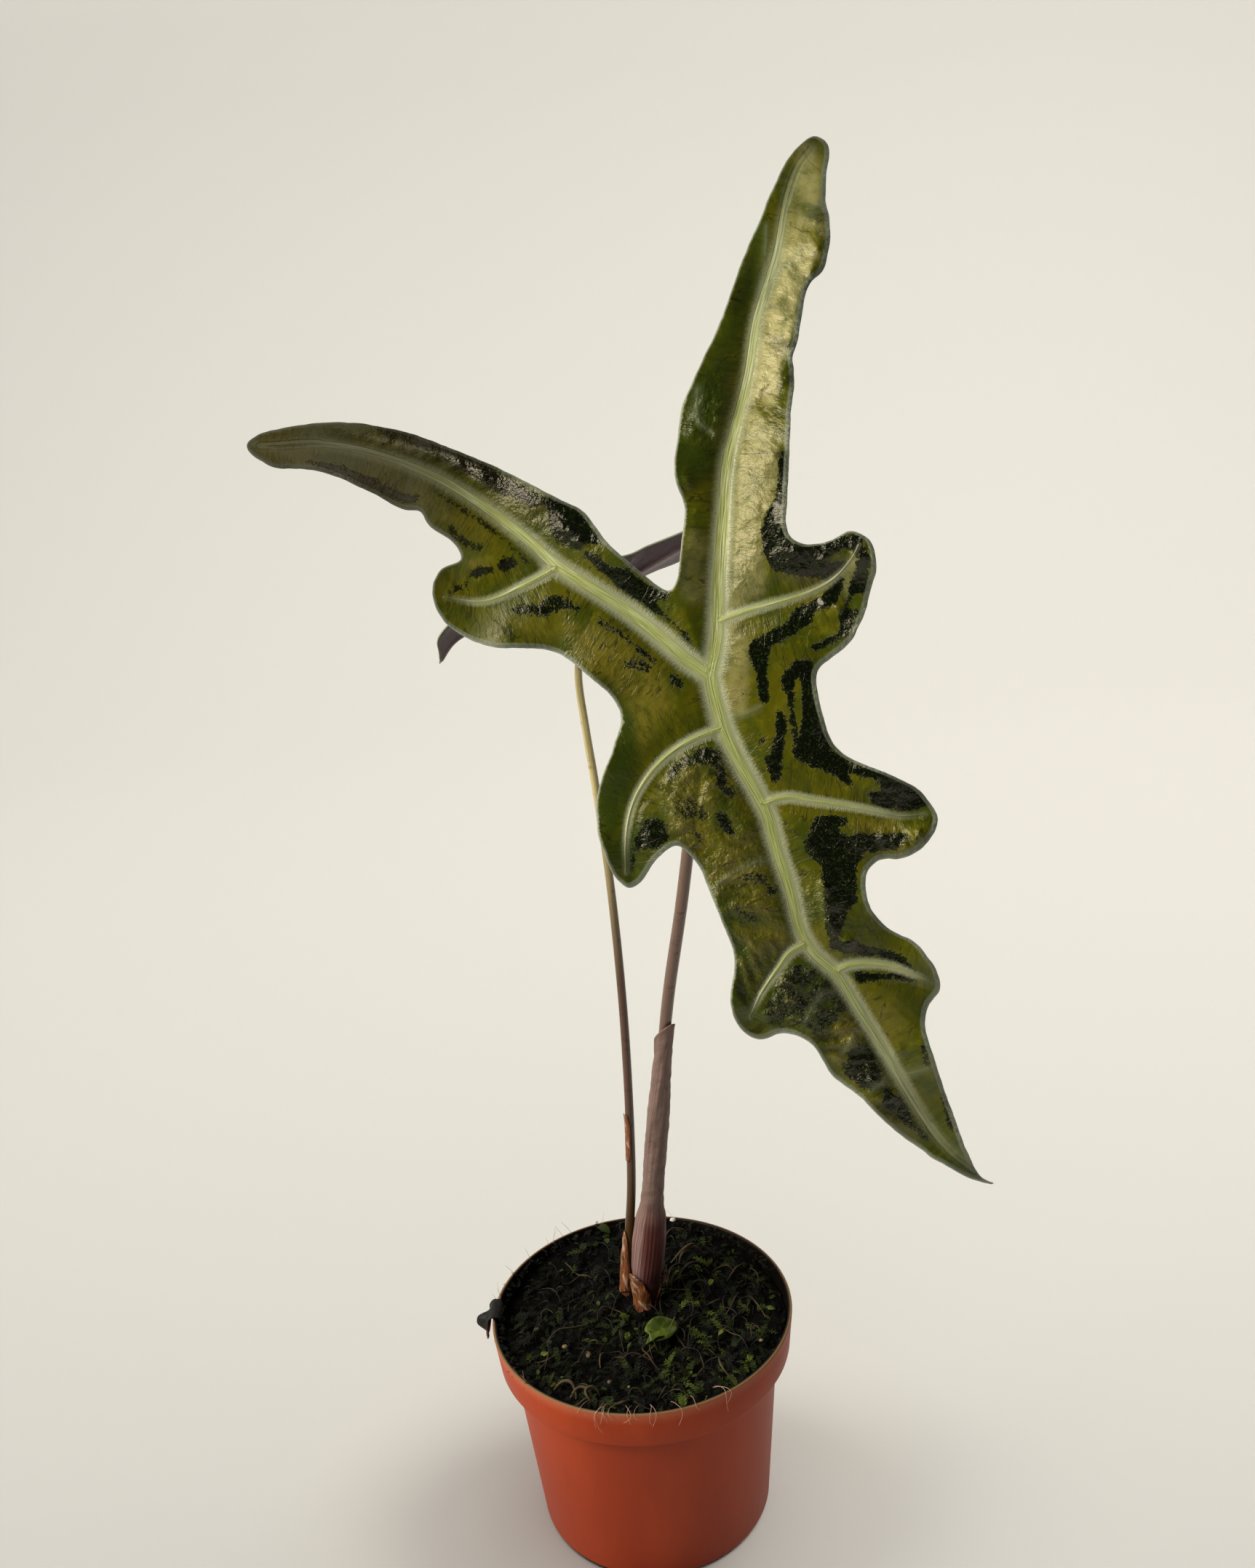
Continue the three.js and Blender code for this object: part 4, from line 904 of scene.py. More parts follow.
# The darkened end of the left lobe and the upper lobe's tip are painted shade.
painted_end_shade = smooth_step(front_points @ np.array(left_lobe_way), 40, 88)
painted_end_shade = np.maximum(painted_end_shade, 0.7 * smooth_step(front_points[:, 1], 116, 128))
keep(front_leaf, "painted_end_shade", painted_end_shade, len(front_edge))
keep(front_leaf, "vein", np.maximum(vein_facts["core"], 0.6 * vein_facts["halo"]), len(front_edge))
keep(front_leaf, "crest", np.clip(front_folds, -1.5, 1.5), len(front_edge))
print("large leaf:", len(front_leaf.data.polygons), "faces")

# %% [markdown]
# ### Skin of the leaves
#
# The upper skin of this leaf is waxy and shines like oiled leather, over an olive ground with
# brown-gold clouds. A painted picture would blur close up, so every mark is a node pattern: noise
# in millimetres of the leaf's plane, stretched along the ribs, and the patches from above.

# %% Upper skin: ground
leaf_skin, shader, node = new_material("waxy_alocasia_leaf_skin", {
    "IOR": 1.5, "Specular IOR Level": 0.6,
})
plane = node("vector", attribute_name="plane")
rib_way = node("vector", attribute_name="rib_way")
kept = {name: node("attribute", attribute_name=name) for name in (
    "core", "halo", "share", "steady", "margin", "vein", "black", "islands", "gold", "tan", "deep",
    "puckered", "crest", "painted_end_shade",
)}
cloud = node("noise", plane, 1 / 12, 3, 0.5)
mottle = node("noise", plane, 1 / 3.2, 5, 0.6)
speck = node("noise", plane, 1 / 0.8, 4, 0.7)
streak = node("noise", node("stretch", rib_way, (1, 0.14, 1)), 1 / 1.3, 3, 0.55)
wrinkle = node("noise", node("stretch", rib_way, (1, 0.3, 1)), 1 / 0.9, 4, 0.6)

# Olive leaf green with brown-gold clouds, and darker streaks that run from rib to margin.
ground = node("mix", "#434c02", "#5e5c02", node("step", cloud, 0.38, 0.62))
ground = node("mix", ground, "#706e0a", node("step", mottle, 0.5, 0.78))
dark_streak = node("MULTIPLY", node("step", streak, 0.5, 0.7, 0.0, 0.5), kept["steady"])
ground = node("mix", ground, "#272d02", dark_streak)
# Deep green, partly painted shade where the blade turns from the light.
deep_green_and_shade_amount = node("MULTIPLY", kept["deep"], 0.85)
ground = node("mix", ground, "#2b3c04", deep_green_and_shade_amount)
tan_amount = node("MULTIPLY", kept["tan"], node("step", mottle, 0.15, 0.6))
ground = node("mix", ground, "#786f20", node("MULTIPLY", tan_amount, 0.9))
# Pale gold, partly painted sheen over the leaf's own yellow-green.
gold_and_sheen_left = node("MAXIMUM", node("SUBTRACT", kept["gold"], kept["islands"]), 0.0)
gold_and_sheen_amount = node("MULTIPLY", gold_and_sheen_left, node("step", mottle, 0.2, 0.58))
ground = node("mix", ground, "#aca670", node("MULTIPLY", gold_and_sheen_amount, 0.88))

# %% [markdown]
# Crests of the folds are painted a lighter gold-brown, a painted highlight where they face the light,
# and are crossed by fine dark wrinkles. The troughs between them are painted dark green, as painted
# shade. Thread veins are dark lines a few tenths of a millimetre wide that wander out from the ribs.
# Modelled, they would need a mesh ten times as fine, so each is drawn where a noise that is stretched
# across the ribs passes through its middle value.

# %% Upper skin: folds and threads
painted_crest_light = node("step", kept["crest"], 0.15, 0.85, 0.0, 0.7)
ground = node("mix", ground, "#6e6528", painted_crest_light)
painted_trough_shade = node("step", kept["crest"], -0.05, -0.7, 0.0, 0.62)
ground = node("mix", ground, "#1d2206", painted_trough_shade)
dark_wrinkle = node("MULTIPLY", node("step", wrinkle, 0.5, 0.62, 0.0, 0.6), kept["steady"])
wrinkled = node("MAXIMUM", node("MAXIMUM", painted_crest_light, tan_amount), 0.12)
ground = node("mix", ground, "#1d2103", node("MULTIPLY", dark_wrinkle, wrinkled))

wander = node("noise", node("stretch", rib_way, (1, 0.34, 1)), 1 / 5.5, 3, 0.45)
off_middle = node("ABSOLUTE", node("SUBTRACT", wander, 0.5))
thread = node("step", off_middle, 0.012, 0.003)
thread = node("MULTIPLY", thread, kept["steady"])
dark_thread = node("MULTIPLY", thread, node("step", cloud, 0.38, 0.55, 0.0, 0.6))
ground = node("mix", ground, "#161a02", dark_thread)

# %% [markdown]
# The blotches are near-black, with borders that noise frays to specks, and islands of the ground
# colour in them. Silver beside the ribs is skin with air under it: a soft grey-green glow that
# ends in fine feathers across the rib. Small veins in the blade are thin pale lines.

# %% Upper skin: blotches and silver
fray = node("ADD", node("MULTIPLY", node("SUBTRACT", mottle, 0.5), 1.1), kept["black"])
frayed = node("ADD", fray, node("MULTIPLY", node("SUBTRACT", speck, 0.5), 1.15))
frayed = node("SUBTRACT", frayed, kept["islands"])
black = node("step", frayed, 0.42, 0.52)
blotch = node("mix", "#040901", "#26370a", node("step", speck, 0.5, 0.68))
skin = node("mix", ground, blotch, black)
skin = node("mix", skin, "#7d8562", node("MULTIPLY", kept["vein"], 0.55))
feather = node("noise", node("stretch", rib_way, (1, 0.25, 1)), 1 / 0.3, 3, 0.6)
feathered = node("ADD", kept["halo"], node("MULTIPLY", node("SUBTRACT", feather, 0.5), 0.8))
glow = node("step", feathered, 0.15, 0.95, 0.0, 0.92)
glow = node("MULTIPLY", glow, node("step", kept["halo"], 0.0, 0.2))
silver_and_highlight_share = node("range", node("y", plane), -10.0, 30.0, 0.25, 1.0)
thinning = node("MULTIPLY", node("step", kept["share"], 0.1, 0.55), silver_and_highlight_share)
glow = node("MULTIPLY", glow, node("SUBTRACT", 1.0, node("MULTIPLY", thinning, 0.5)))
glow = node("MULTIPLY", glow, node("step", kept["share"], 0.7, 0.97, 1.0, 0.15))
skin = node("mix", skin, "#abb18c", glow)

# %% [markdown]
# A rib is yellow-green flesh in fine cords. Pale lines along the cords are painted highlights,
# strongest in the upper lobes. The margin is a grey band about a millimetre wide, with a paler brim.

# %% Upper skin: ribs and margin
cords = node("noise", node("stretch", rib_way, (0.05, 1, 1)), 1 / 0.42, 2, 0.5)
flesh = node("mix", "#9aa264", "#adb76e", node("step", kept["core"], 0.1, 0.6))
flesh = node("mix", flesh, "#848c48", node("step", cords, 0.5, 0.35, 0.0, 0.5))
# Pale lines on the cords: painted highlights.
painted_rib_highlight = node("MULTIPLY", node("step", cords, 0.52, 0.66, 0.0, 0.6), silver_and_highlight_share)
flesh = node("mix", flesh, "#e2e6c8", painted_rib_highlight)
flesh = node("mix", flesh, "#969c7e", node("step", kept["share"], 0.35, 0.95, 0.0, 0.8))
rib_end = node("step", kept["share"], 0.75, 0.97, 1.0, 0.15)
rib_amount = node("MULTIPLY", node("step", kept["core"], 0.0, 0.28), rib_end)
skin = node("mix", skin, flesh, rib_amount)
band = node("step", kept["margin"], 1.08, 0.72)
margin_colour = node("mix", "#979d8c", "#6f7864", node("step", kept["margin"], 0.05, 0.4))
skin = node("mix", skin, margin_colour, node("MULTIPLY", band, 0.85))

# The end of the left lobe and the very tip of the upper lobe are painted dark brown as shade,
# and they dull too, but for the blotches' gloss.
skin = node("mix", skin, "#1d1908", node("MULTIPLY", kept["painted_end_shade"], 0.84))
feed(skin, shader, "Base Color")

# %% [markdown]
# The wax is wettest on the blotches, and duller on the ribs, the margin and the end of the left lobe
# that is painted with shade. The crinkle is one of folds a millimetre or two wide, too many to
# model, so it is a bump. It is deeper where the leaf is puckered, and turns to fine cords on the ribs.

# %% Upper skin: gloss and crinkle
gloss = node("between", 0.28, 0.12, black)
gloss = node("between", gloss, 0.43, node("step", kept["core"], 0.0, 0.3))
gloss = node("between", gloss, 0.45, band)
dulled = node("step", node("SUBTRACT", kept["painted_end_shade"], node("MULTIPLY", kept["puckered"], 0.8)), 0.0, 0.3)
gloss = node("between", gloss, 0.5, dulled)
feed(gloss, shader, "Roughness")
feed(node("mix", "#f8f0d8", "#2a261c", dulled), shader, "Specular Tint")
crinkle = node("noise", plane, 1 / 1.5, 4, 0.55)
puckered = node("ADD", 0.3, node("MULTIPLY", kept["puckered"], 1.3))
relief = node("MULTIPLY", crinkle, puckered)
ripple = node("noise", plane, 1 / 2.6, 3, 0.5)
wet = node("ADD", node("MULTIPLY", kept["puckered"], 1.3), black)
relief = node("ADD", relief, node("MULTIPLY", ripple, wet))
relief = node("ADD", relief, node("MULTIPLY", node("MULTIPLY", wrinkle, kept["steady"]), 0.5))
relief = node("ADD", relief, node("MULTIPLY", node("MULTIPLY", speck, black), 0.15))
relief = node("SUBTRACT", relief, node("MULTIPLY", thread, 0.08))
smooth_rib = node("MAXIMUM", glow, node("step", kept["core"], 0.0, 0.2))
relief = node("MULTIPLY", relief, node("SUBTRACT", 1.0, smooth_rib))
relief = node("ADD", relief, node("MULTIPLY", cords, kept["core"]))
feed(node("bump", 1.0, 0.42 * MM, relief), shader, "Normal")

# %% [markdown]
# The lower skin of the same leaves is dull purple-brown, from red sap in its cells, and has paler
# ribs. It reads the same attributes, so its veins lie right under those of the upper skin.

# %% Underside
under_skin, shader, node = new_material("purple_leaf_underside", {"Roughness": 0.42})
plane = node("vector", attribute_name="plane")
rib_way = node("vector", attribute_name="rib_way")
cloud = node("noise", plane, 1 / 9, 4, 0.55)
streak = node("noise", node("stretch", rib_way, (1, 0.14, 1)), 1 / 1.3, 3, 0.6)
purple = node("mix", "#3a2c33", "#57444a", node("step", cloud, 0.35, 0.68))
purple = node("mix", purple, "#6a5058", node("MULTIPLY", streak, 0.5))
core = node("attribute", attribute_name="core")
purple = node("mix", purple, "#7d6260", node("step", core, 0.0, 0.6))
margin = node("attribute", attribute_name="margin")
band = node("step", margin, 1.0, 0.5)
purple = node("mix", purple, "#5c5a48", node("MULTIPLY", band, 0.8))
feed(purple, shader, "Base Color")
fine = node("noise", plane, 1 / 0.9, 4, 0.6)
relief = node("ADD", node("MULTIPLY", streak, 0.8), fine)
feed(node("bump", 0.7, 0.15 * MM, relief), shader, "Normal")

front_leaf.data.materials.append(leaf_skin)
front_leaf.data.materials.append(under_skin)
print("leaf skins:", leaf_skin.name, under_skin.name)

# %% [markdown]
# ## The small leaf behind
#
# It is built the same way, but it faces up and away, so its purple underside shows between the
# lobes of the large leaf. It has axes of its own and is seen from below, so it is lifted straight
# along its normal.

# %% Small leaf
rear_outline = [
    (-9.5, -40.5), (-6.5, -40.3), (-4, -39), (-2.6, -36.5), (-3, -32), (-6, -27), (-10, -21),
    (-12.5, -13), (-14, -5), (-15, 4), (-17, 12), (-20.5, 20), (-25, 29), (-29, 39), (-30.5, 46),
    (-26, 44), (-19, 38.5), (-12, 31.5), (-5.5, 22), (0, 12.5), (3.5, 18), (6.5, 24), (9.5, 31.5),
    (14, 38.5), (20, 44), (26.5, 48.5), (31, 50.5), (31, 45), (27.5, 36.5), (22.5, 27), (18.5, 19),
    (15.5, 11.5), (14.5, 4), (14.5, -5), (14, -13), (12, -22), (9.5, -30), (7.5, -37), (5.5, -42.5),
    (2.5, -44.5), (-3, -43),
]
rear_main_ribs = [
    [(0, 0), (0, -8), (0.5, -18), (1.5, -28), (1, -36), (-1.5, -40), (-6, -41.3)],
    [(0, 0), (-5, 9), (-10.5, 18), (-18, 29), (-27, 42)],
    [(0, 0), (5, 9), (10.5, 18), (18.5, 28.5), (24, 37), (29, 46)],
]
rear_side_ribs = [
    [(7, 12), (10.5, 12), (14, 14)],
    [(-7, 12), (-10.5, 12), (-14, 14)],
    [(0, -9), (6, -12), (11, -17)],
    [(0, -9), (-6, -11), (-10, -15)],
]
rear_joint = np.array([-2.7, 32.5, 279.2])
rear_up = Vector((0.84, 0.541, -0.051)).normalized()
rear_out = Vector((-0.397, 0.677, 0.62))
rear_out = (rear_out - rear_out.dot(rear_up) * rear_up).normalized()
rear_across = rear_up.cross(rear_out)


def place_in_rear_leaf(points, height):
    """Points of the small leaf's plane, at heights above it, in the model's frame."""
    flat = rear_joint + points[:, :1] * np.array(rear_across) + points[:, 1:] * np.array(rear_up)
    return flat + height[:, None] * np.array(rear_out)


rear_spacing = 1.0
rear_line = smooth_line(rear_outline, rear_spacing, closed=True)
rear_edge = uneven(rear_line, 0.15)
rear_ribs = make_ribs(rear_main_ribs, rear_side_ribs, 1.2, 0.8)
rear_points, rear_faces = blade_sheet(rear_edge, rear_ribs, rear_spacing)
rear_facts = rib_facts(rear_points, rear_ribs)
rear_height = (
    fold_and_swell(rear_facts, 0.3, 7, 0.7, 4) + arch(rear_points, (0, -1), 12, 0.006)
    + arch(rear_points, (0, 1), 12, 0.0022)
    + pucker(rear_points, rear_facts, rear_edge, [], np.zeros(len(rear_points)), [])
)
rear_leaf = blade_object(
    "small_leaf", len(rear_edge), rear_faces,
    place_in_rear_leaf(rear_points, rear_height + 0.3 * rear_facts["rise"]),
    place_in_rear_leaf(rear_points, rear_height - blade_thickness - 0.9 * rear_facts["rise"]), 0.1,
)
keep_blade_facts(rear_leaf, rear_points, rear_edge, rear_facts, np.full(len(rear_edge), 0.8))
rear_leaf.data.materials.append(leaf_skin)
rear_leaf.data.materials.append(under_skin)
print("small leaf:", len(rear_leaf.data.polygons), "faces")

# %% [markdown]
# ## Stalks, sheath and scales
#
# A stalk could be an extruded circle, but one that leans and bends is easier as a bevelled curve,
# turned to a mesh. The curve's radius changes a little along it, and the mesh keeps where each
# point lies round and along the stalk, for cords that follow it.

# %% Stems along curves
front_stalk_path = [
    (0.6, 8.1, 53), (1.2, 7.9, 65), (3.4, 6.5, 86), (6.2, 4.3, 109), (9.5, 1, 136), (14.4, -5, 175),
    (19.9, -12, 208), (24.9, -19, 241.5), (28.4, -24, 263),
]
rear_stalk_path = [
    (-4.8, 14.3, 53), (-4.5, 14.5, 65), (-2.3, 15, 85), (-0.4, 16, 101), (0.9, 17.8, 125),
    (1.7, 20.5, 162), (1, 23, 200), (-0.9, 26, 230), (-2.2, 27.3, 246), (-2.9, 28.6, 260),
]


def select_only(piece):
    """Makes a piece the only selected one, for the operators that work on a selection."""
    bpy.ops.object.select_all(action="DESELECT")
    piece.select_set(True)
    bpy.context.view_layer.objects.active = piece


def to_mesh(piece):
    """Turns a curve object into a smooth mesh object, with its bevel."""
    select_only(piece)
    bpy.ops.object.convert(target="MESH")
    bpy.context.object.data.shade_smooth()
    return bpy.context.object


def curve_object(name, lines, radii, bevel_resolution):
    """Poly curves through points in mm, one spline a line, as thick as radii says, in mm."""
    curve = bpy.data.curves.new(name, "CURVE")
    curve.dimensions = "3D"
    curve.bevel_depth = MM
    curve.bevel_resolution = bevel_resolution
    curve.use_fill_caps = True
    for line, thickness in zip(lines, radii):
        spline = curve.splines.new("POLY")
        spline.points.add(len(line) - 1)
        for point, place, radius in zip(spline.points, line, thickness):
            point.co = (*(place * MM), 1)
            point.radius = radius
    return add_object(name, curve)


# %% Stalks
ring_spacing = 1.5


def make_stalk(name, path, foot_radius, top_radius):
    """A stalk with slight knobbles, and its points' places round and along it."""
    line = smooth_line(path, ring_spacing)
    share = np.linspace(0, 1, len(line))
    uneven_radius = 1 + 0.03 * np.array([noise.noise((0.08 * z, 3.7, 0)) for z in line[:, 2]])
    radius = (foot_radius + (top_radius - foot_radius) * share) * uneven_radius
    piece = to_mesh(curve_object(name, [line], [radius], 8))
    sides = len(piece.data.vertices) // len(line)
    ring, turn_number = np.divmod(np.arange(len(piece.data.vertices)), sides)
    angle = turn_number / sides * 2 * math.pi
    round_x, round_y = np.cos(angle) * top_radius, np.sin(angle) * top_radius
    keep_values(piece.data, "stem_way", np.stack([round_x, round_y, ring * ring_spacing], axis=1))
    return piece


def blade_foot(place, turn_length, depth):
    """The last two points of a stalk, square under a blade's joint."""
    heights = np.array([-depth - turn_length, -depth])
    return [tuple(point) for point in place(np.zeros((2, 2)), heights)]


front_path = front_stalk_path + blade_foot(place_in_leaf, 3.8, 1.5)
rear_path = rear_stalk_path + blade_foot(place_in_rear_leaf, 3.8, 1.2)
rear_foot_radius = 1.45
rear_top_radius = 1.05
front_stalk = make_stalk("large_leaf_stalk", front_path, 1.7, 1.65)
rear_stalk = make_stalk("small_leaf_stalk", rear_path, rear_foot_radius, rear_top_radius)
print("stalks:", len(front_stalk.data.polygons), "and", len(rear_stalk.data.polygons), "faces")

# %% [markdown]
# Living petiole skin is smooth and faintly glossy, red-brown over green, in fine lengthwise cords
# with short dark dashes across them. A pattern on Object coordinates would cut across a leaning
# stalk, so this one reads the place round and along it. The rear stalk pales to straw at its top.

# %% Skin of the stalks


def stalk_skin(name, foot_colour, middle_colour, top_colour, top_at, foot_at):
    """Petiole skin whose colour changes with height, in metres above the pot's foot."""
    material, shader, node = new_material(name, {"Roughness": 0.26})
    way = node("vector", attribute_name="stem_way")
    cords = node("noise", node("stretch", way, (1, 1, 0.03)), 1 / 0.5, 3, 0.55)
    dashes = node("noise", node("stretch", way, (0.5, 0.5, 1)), 1 / 2.0, 3, 0.6)
    height = node("z", node("place"))
    skin = node("mix", foot_colour, middle_colour, node("step", height, *foot_at))
    skin = node("mix", skin, top_colour, node("step", height, *top_at))
    darker = node("step", cords, 0.45, 0.7, 0.0, 0.35)
    skin = node("mix", skin, "#3a2a22", darker)
    dash = node("step", dashes, 0.58, 0.7, 0.0, 0.35)
    skin = node("mix", skin, "#2c1d18", dash)
    feed(skin, shader, "Base Color")
    feed(node("bump", 0.6, 0.12 * MM, cords), shader, "Normal")
    return material


front_stalk.data.materials.append(stalk_skin(
    "red_brown_petiole_skin", "#5c4136", "#6e5648", "#7c6a52", (0.2, 0.27), (0.1, 0.18)))
rear_stalk.data.materials.append(stalk_skin(
    "straw_and_brown_petiole_skin", "#4a3618", "#5a4032", "#c9bc84", (0.165, 0.245), (0.09, 0.13)))

# %% [markdown]
# The sheath and the scales are thin dry skins rolled round the stalks. A cylinder could be cut
# open, but a sheet has free edges, so each is a plane grid whose points are moved onto a roll,
# and which a Solidify modifier then thickens.

# %% Rolled skins


def widths_at(table, z):
    """Value of a table of (height, width) pairs at a height, with soft steps between them."""
    heights, widths = zip(*table)
    k = int(np.clip(np.searchsorted(heights, z), 1, len(heights) - 1))
    t = float(smooth_step(z, heights[k - 1], heights[k]))
    return widths[k - 1] + (widths[k] - widths[k - 1]) * t


def modified(piece, kind, **settings):
    """Gives a piece a modifier with some settings, and applies it."""
    modifier = piece.modifiers.new("change", kind)
    for setting, value in settings.items():
        setattr(modifier, setting, value)
    select_only(piece)
    bpy.ops.object.modifier_apply(modifier=modifier.name)


def grid_sheet(name, columns, rows, place, thickness):
    """A thin sheet: a plane grid, moved point by point with place(across, up), then thickened."""
    bpy.ops.object.select_all(action="DESELECT")
    bpy.ops.mesh.primitive_grid_add(x_subdivisions=columns, y_subdivisions=rows, size=1)
    piece = bpy.context.object
    piece.name = name
    mesh = piece.data
    flat = np.empty(len(mesh.vertices) * 3, np.float32)
    mesh.vertices.foreach_get("co", flat)
    ways = flat.reshape(-1, 3) + 0.5
    ways[:, 2] = 0
    places = np.array([place(float(a), float(b)) for a, b, _ in ways])
    mesh.vertices.foreach_set("co", (places * MM).ravel())
    keep_values(mesh, "sheet_way", ways)
    modified(piece, "SOLIDIFY", thickness=thickness * MM, offset=-1)
    mesh.shade_smooth()
    mesh.update()
    return piece


def stalk_middle(line, z):
    """Middle of a rising stalk at a height."""
    return np.array([np.interp(z, line[:, 2], line[:, k]) for k in (0, 1)] + [z])


# %% Roll of the sheath and the scales
front_middle = smooth_line(front_path, 1.0)
rear_middle = smooth_line(rear_path, 1.0)
sheet_foot = 62
sheath_tip = 168.5
sheath_slant = 9
sheath_slit = 0.5
sheath_start = 0.9
sheath_twist = 1.3
skin_thickness = 0.35
stalk_foot = 53
rear_stalk_rise = 225
sheath_widths = [
    (62, 2.9), (68, 3.2), (74, 4.2), (81, 5), (89, 5.1), (97, 4.7), (104, 3.6), (110, 3.3), (124, 3.4),
    (136, 3.4), (148, 2.9), (158, 2.7), (168.5, 2.7),
]


def sheath_place(across, up):
    """Point of the sheath: rolled round the stalk, ribbed on its bulge and creased above it."""
    top = sheath_tip - sheath_slant * (1 - math.sin(math.pi * across))
    z = sheet_foot + (top - sheet_foot) * up
    angle = sheath_start + sheath_twist * up + sheath_slit / 2 + across * (2 * math.pi - sheath_slit)
    bulge = float(smooth_step(z, 70, 80) * (1 - smooth_step(z, 97, 106)))
    ribs = 0.08 * math.sin(angle * 26 - 0.16 * z + 0.6 * math.sin(z * 0.2)) * bulge
    creases = noise.noise((1.2 * math.cos(angle), 1.2 * math.sin(angle), z * 0.36))
    fold_line = 4.35 + 0.035 * (z - 142)
    fold_share = float(smooth_step(z, 118, 132) * (1 - smooth_step(z, 152, 160)))
    fold = 0.3 * math.exp(-((angle - fold_line) / 0.28) ** 2) * fold_share
    edge_lift = 0.22 * math.exp(-((1 - up) / 0.012) ** 2)
    relief = ribs + 0.24 * creases * (1 - bulge) + fold + edge_lift
    r = widths_at(sheath_widths, z) - 0.1 + relief
    middle = stalk_middle(front_middle, z)
    return middle + r * np.array([math.cos(angle), math.sin(angle), 0])


def scale_place(line, high, facing, spread, widths, across, up):
    """Point of a papery scale: a short pointed sheet curved round a stalk, frayed at its tip."""
    side_top = sheet_foot + 4
    frayed = 2 * noise.noise((across * 9, facing, 1.3)) + noise.noise((across * 27, facing, 4))
    top = side_top + (high - side_top) * math.sin(math.pi * across) ** 0.8 + 0.8 * frayed
    z = sheet_foot + (top - sheet_foot) * up
    angle = facing + (across - 0.5) * spread
    crumple = 0.7 * noise.noise((across * 5, z * 0.25, facing)) * up
    r = widths_at(widths, z) + crumple
    return stalk_middle(line, z) + r * np.array([math.cos(angle), math.sin(angle), 0])


fine_sheet = 2
sheath = grid_sheet("dry_sheath", 60 * fine_sheet, 90 * fine_sheet, sheath_place, skin_thickness)
scale_facts = {
    "front_papery_scale": (
        front_middle, 79, math.radians(222), 2.6, [(62, 3.9), (67.5, 4.1), (74, 5.1), (81, 6.2)]),
    "side_papery_scale": (
        front_middle, 77, math.radians(350), 1.3, [(62, 3.8), (67.5, 3.9), (74, 5.2), (81, 6.8)]),
    "rear_papery_scale": (
        rear_middle, 87, math.radians(215), 3.2, [(62, 2.3), (70, 2.3), (78, 2.1), (88, 1.9)]),
}
scales = {}
for name, facts in scale_facts.items():
    scales[name] = grid_sheet(
        name, 14 * fine_sheet, 14 * fine_sheet,
        lambda across, up, facts=facts: scale_place(*facts, across, up), 0.3,
    )
print("sheath:", len(sheath.data.polygons), "faces; scales:", ", ".join(scales))

# %% Rag of a scale


def sliver_place(across, up):
    """Point of the last rag of a scale that clings to the rear stalk, pointed at both ends."""
    z = 111 + 15.5 * up
    reach = 1.1 * math.sin(math.pi * (0.12 + 0.76 * up)) ** 0.6
    angle = math.radians(212) + (across - 0.5) * 2 * reach + 0.1 * noise.noise((up * 6, 0, 5))
    share = (z - stalk_foot) / rear_stalk_rise
    stalk_radius = rear_foot_radius + (rear_top_radius - rear_foot_radius) * share
    radius = stalk_radius + 0.28 + 0.25 * up ** 6
    return stalk_middle(rear_middle, z) + radius * np.array([math.cos(angle), math.sin(angle), 0])


sliver = grid_sheet("scale_rag_on_rear_stalk", 8, 30, sliver_place, 0.18)
print("rag:", len(sliver.data.polygons), "faces")

# %% [markdown]
# Dead sheath tissue is thin as onion skin and mauve-brown, and matt with a faint sheen. The papery
# scales are russet, and as pale in patches as the skin of a bulb. Both patterns are stretched
# along the sheet itself, so that the fibres follow the roll.

# %% Dry skins
sheath_skin, shader, node = new_material("dry_mauve_sheath_tissue", {
    "Roughness": 0.62, "Specular IOR Level": 0.25, "Sheen Weight": 0.06,
})
way = node("vector", attribute_name="sheet_way")
fibres = node("noise", node("stretch", way, (60, 2.2, 1)), 1, 3, 0.6)
cloud = node("noise", node("stretch", way, (4, 14, 1)), 1, 4, 0.6)
place = node("place")
height = node("z", place)
dry = node("mix", "#66504a", "#8c7468", node("step", fibres, 0.3, 0.7))
dry = node("mix", dry, "#5a4644", node("step", cloud, 0.5, 0.75))
in_bulge = node("step", height, 0.108, 0.094)
mauve = node("mix", "#74544e", "#a08680", node("step", fibres, 0.4, 0.7))
dry = node("mix", dry, mauve, in_bulge)
round_it = node("ADD", node("x", way), node("MULTIPLY", node("y", way), 0.22))
off_band = node("ABSOLUTE", node("SUBTRACT", round_it, 0.67))
red_band = node("step", off_band, 0.18, 0.08)
red_band = node("MULTIPLY", red_band, in_bulge)
dry = node("mix", dry, "#52180f", node("MULTIPLY", red_band, 0.88))
low_bulge = node("step", height, 0.086, 0.07)
dry = node("mix", dry, "#6a3a42", node("MULTIPLY", low_bulge, 0.35))
feed(dry, shader, "Base Color")
creases = node("noise", node("stretch", way, (5, 75, 1)), 1, 3, 0.6)
creased = node("MULTIPLY", creases, node("SUBTRACT", 1.0, in_bulge))
feed(node("bump", 0.9, 0.25 * MM, node("ADD", fibres, creased)), shader, "Normal")
sheath.data.materials.append(sheath_skin)

paper_skin, shader, node = new_material("russet_papery_scale", {"Roughness": 0.55})
way = node("vector", attribute_name="sheet_way")
fibres = node("noise", node("stretch", way, (38, 2.5, 1)), 1, 4, 0.6)
blotch = node("noise", node("stretch", way, (3, 4, 1)), 1, 4, 0.6)
russet = node("mix", "#4a2410", "#93592e", node("step", fibres, 0.35, 0.65))
russet = node("mix", russet, "#b79c84", node("step", blotch, 0.5, 0.66))
feed(russet, shader, "Base Color")
feed(node("bump", 0.7, 0.15 * MM, fibres), shader, "Normal")
for piece in [*scales.values(), sliver]:
    piece.data.materials.append(paper_skin)

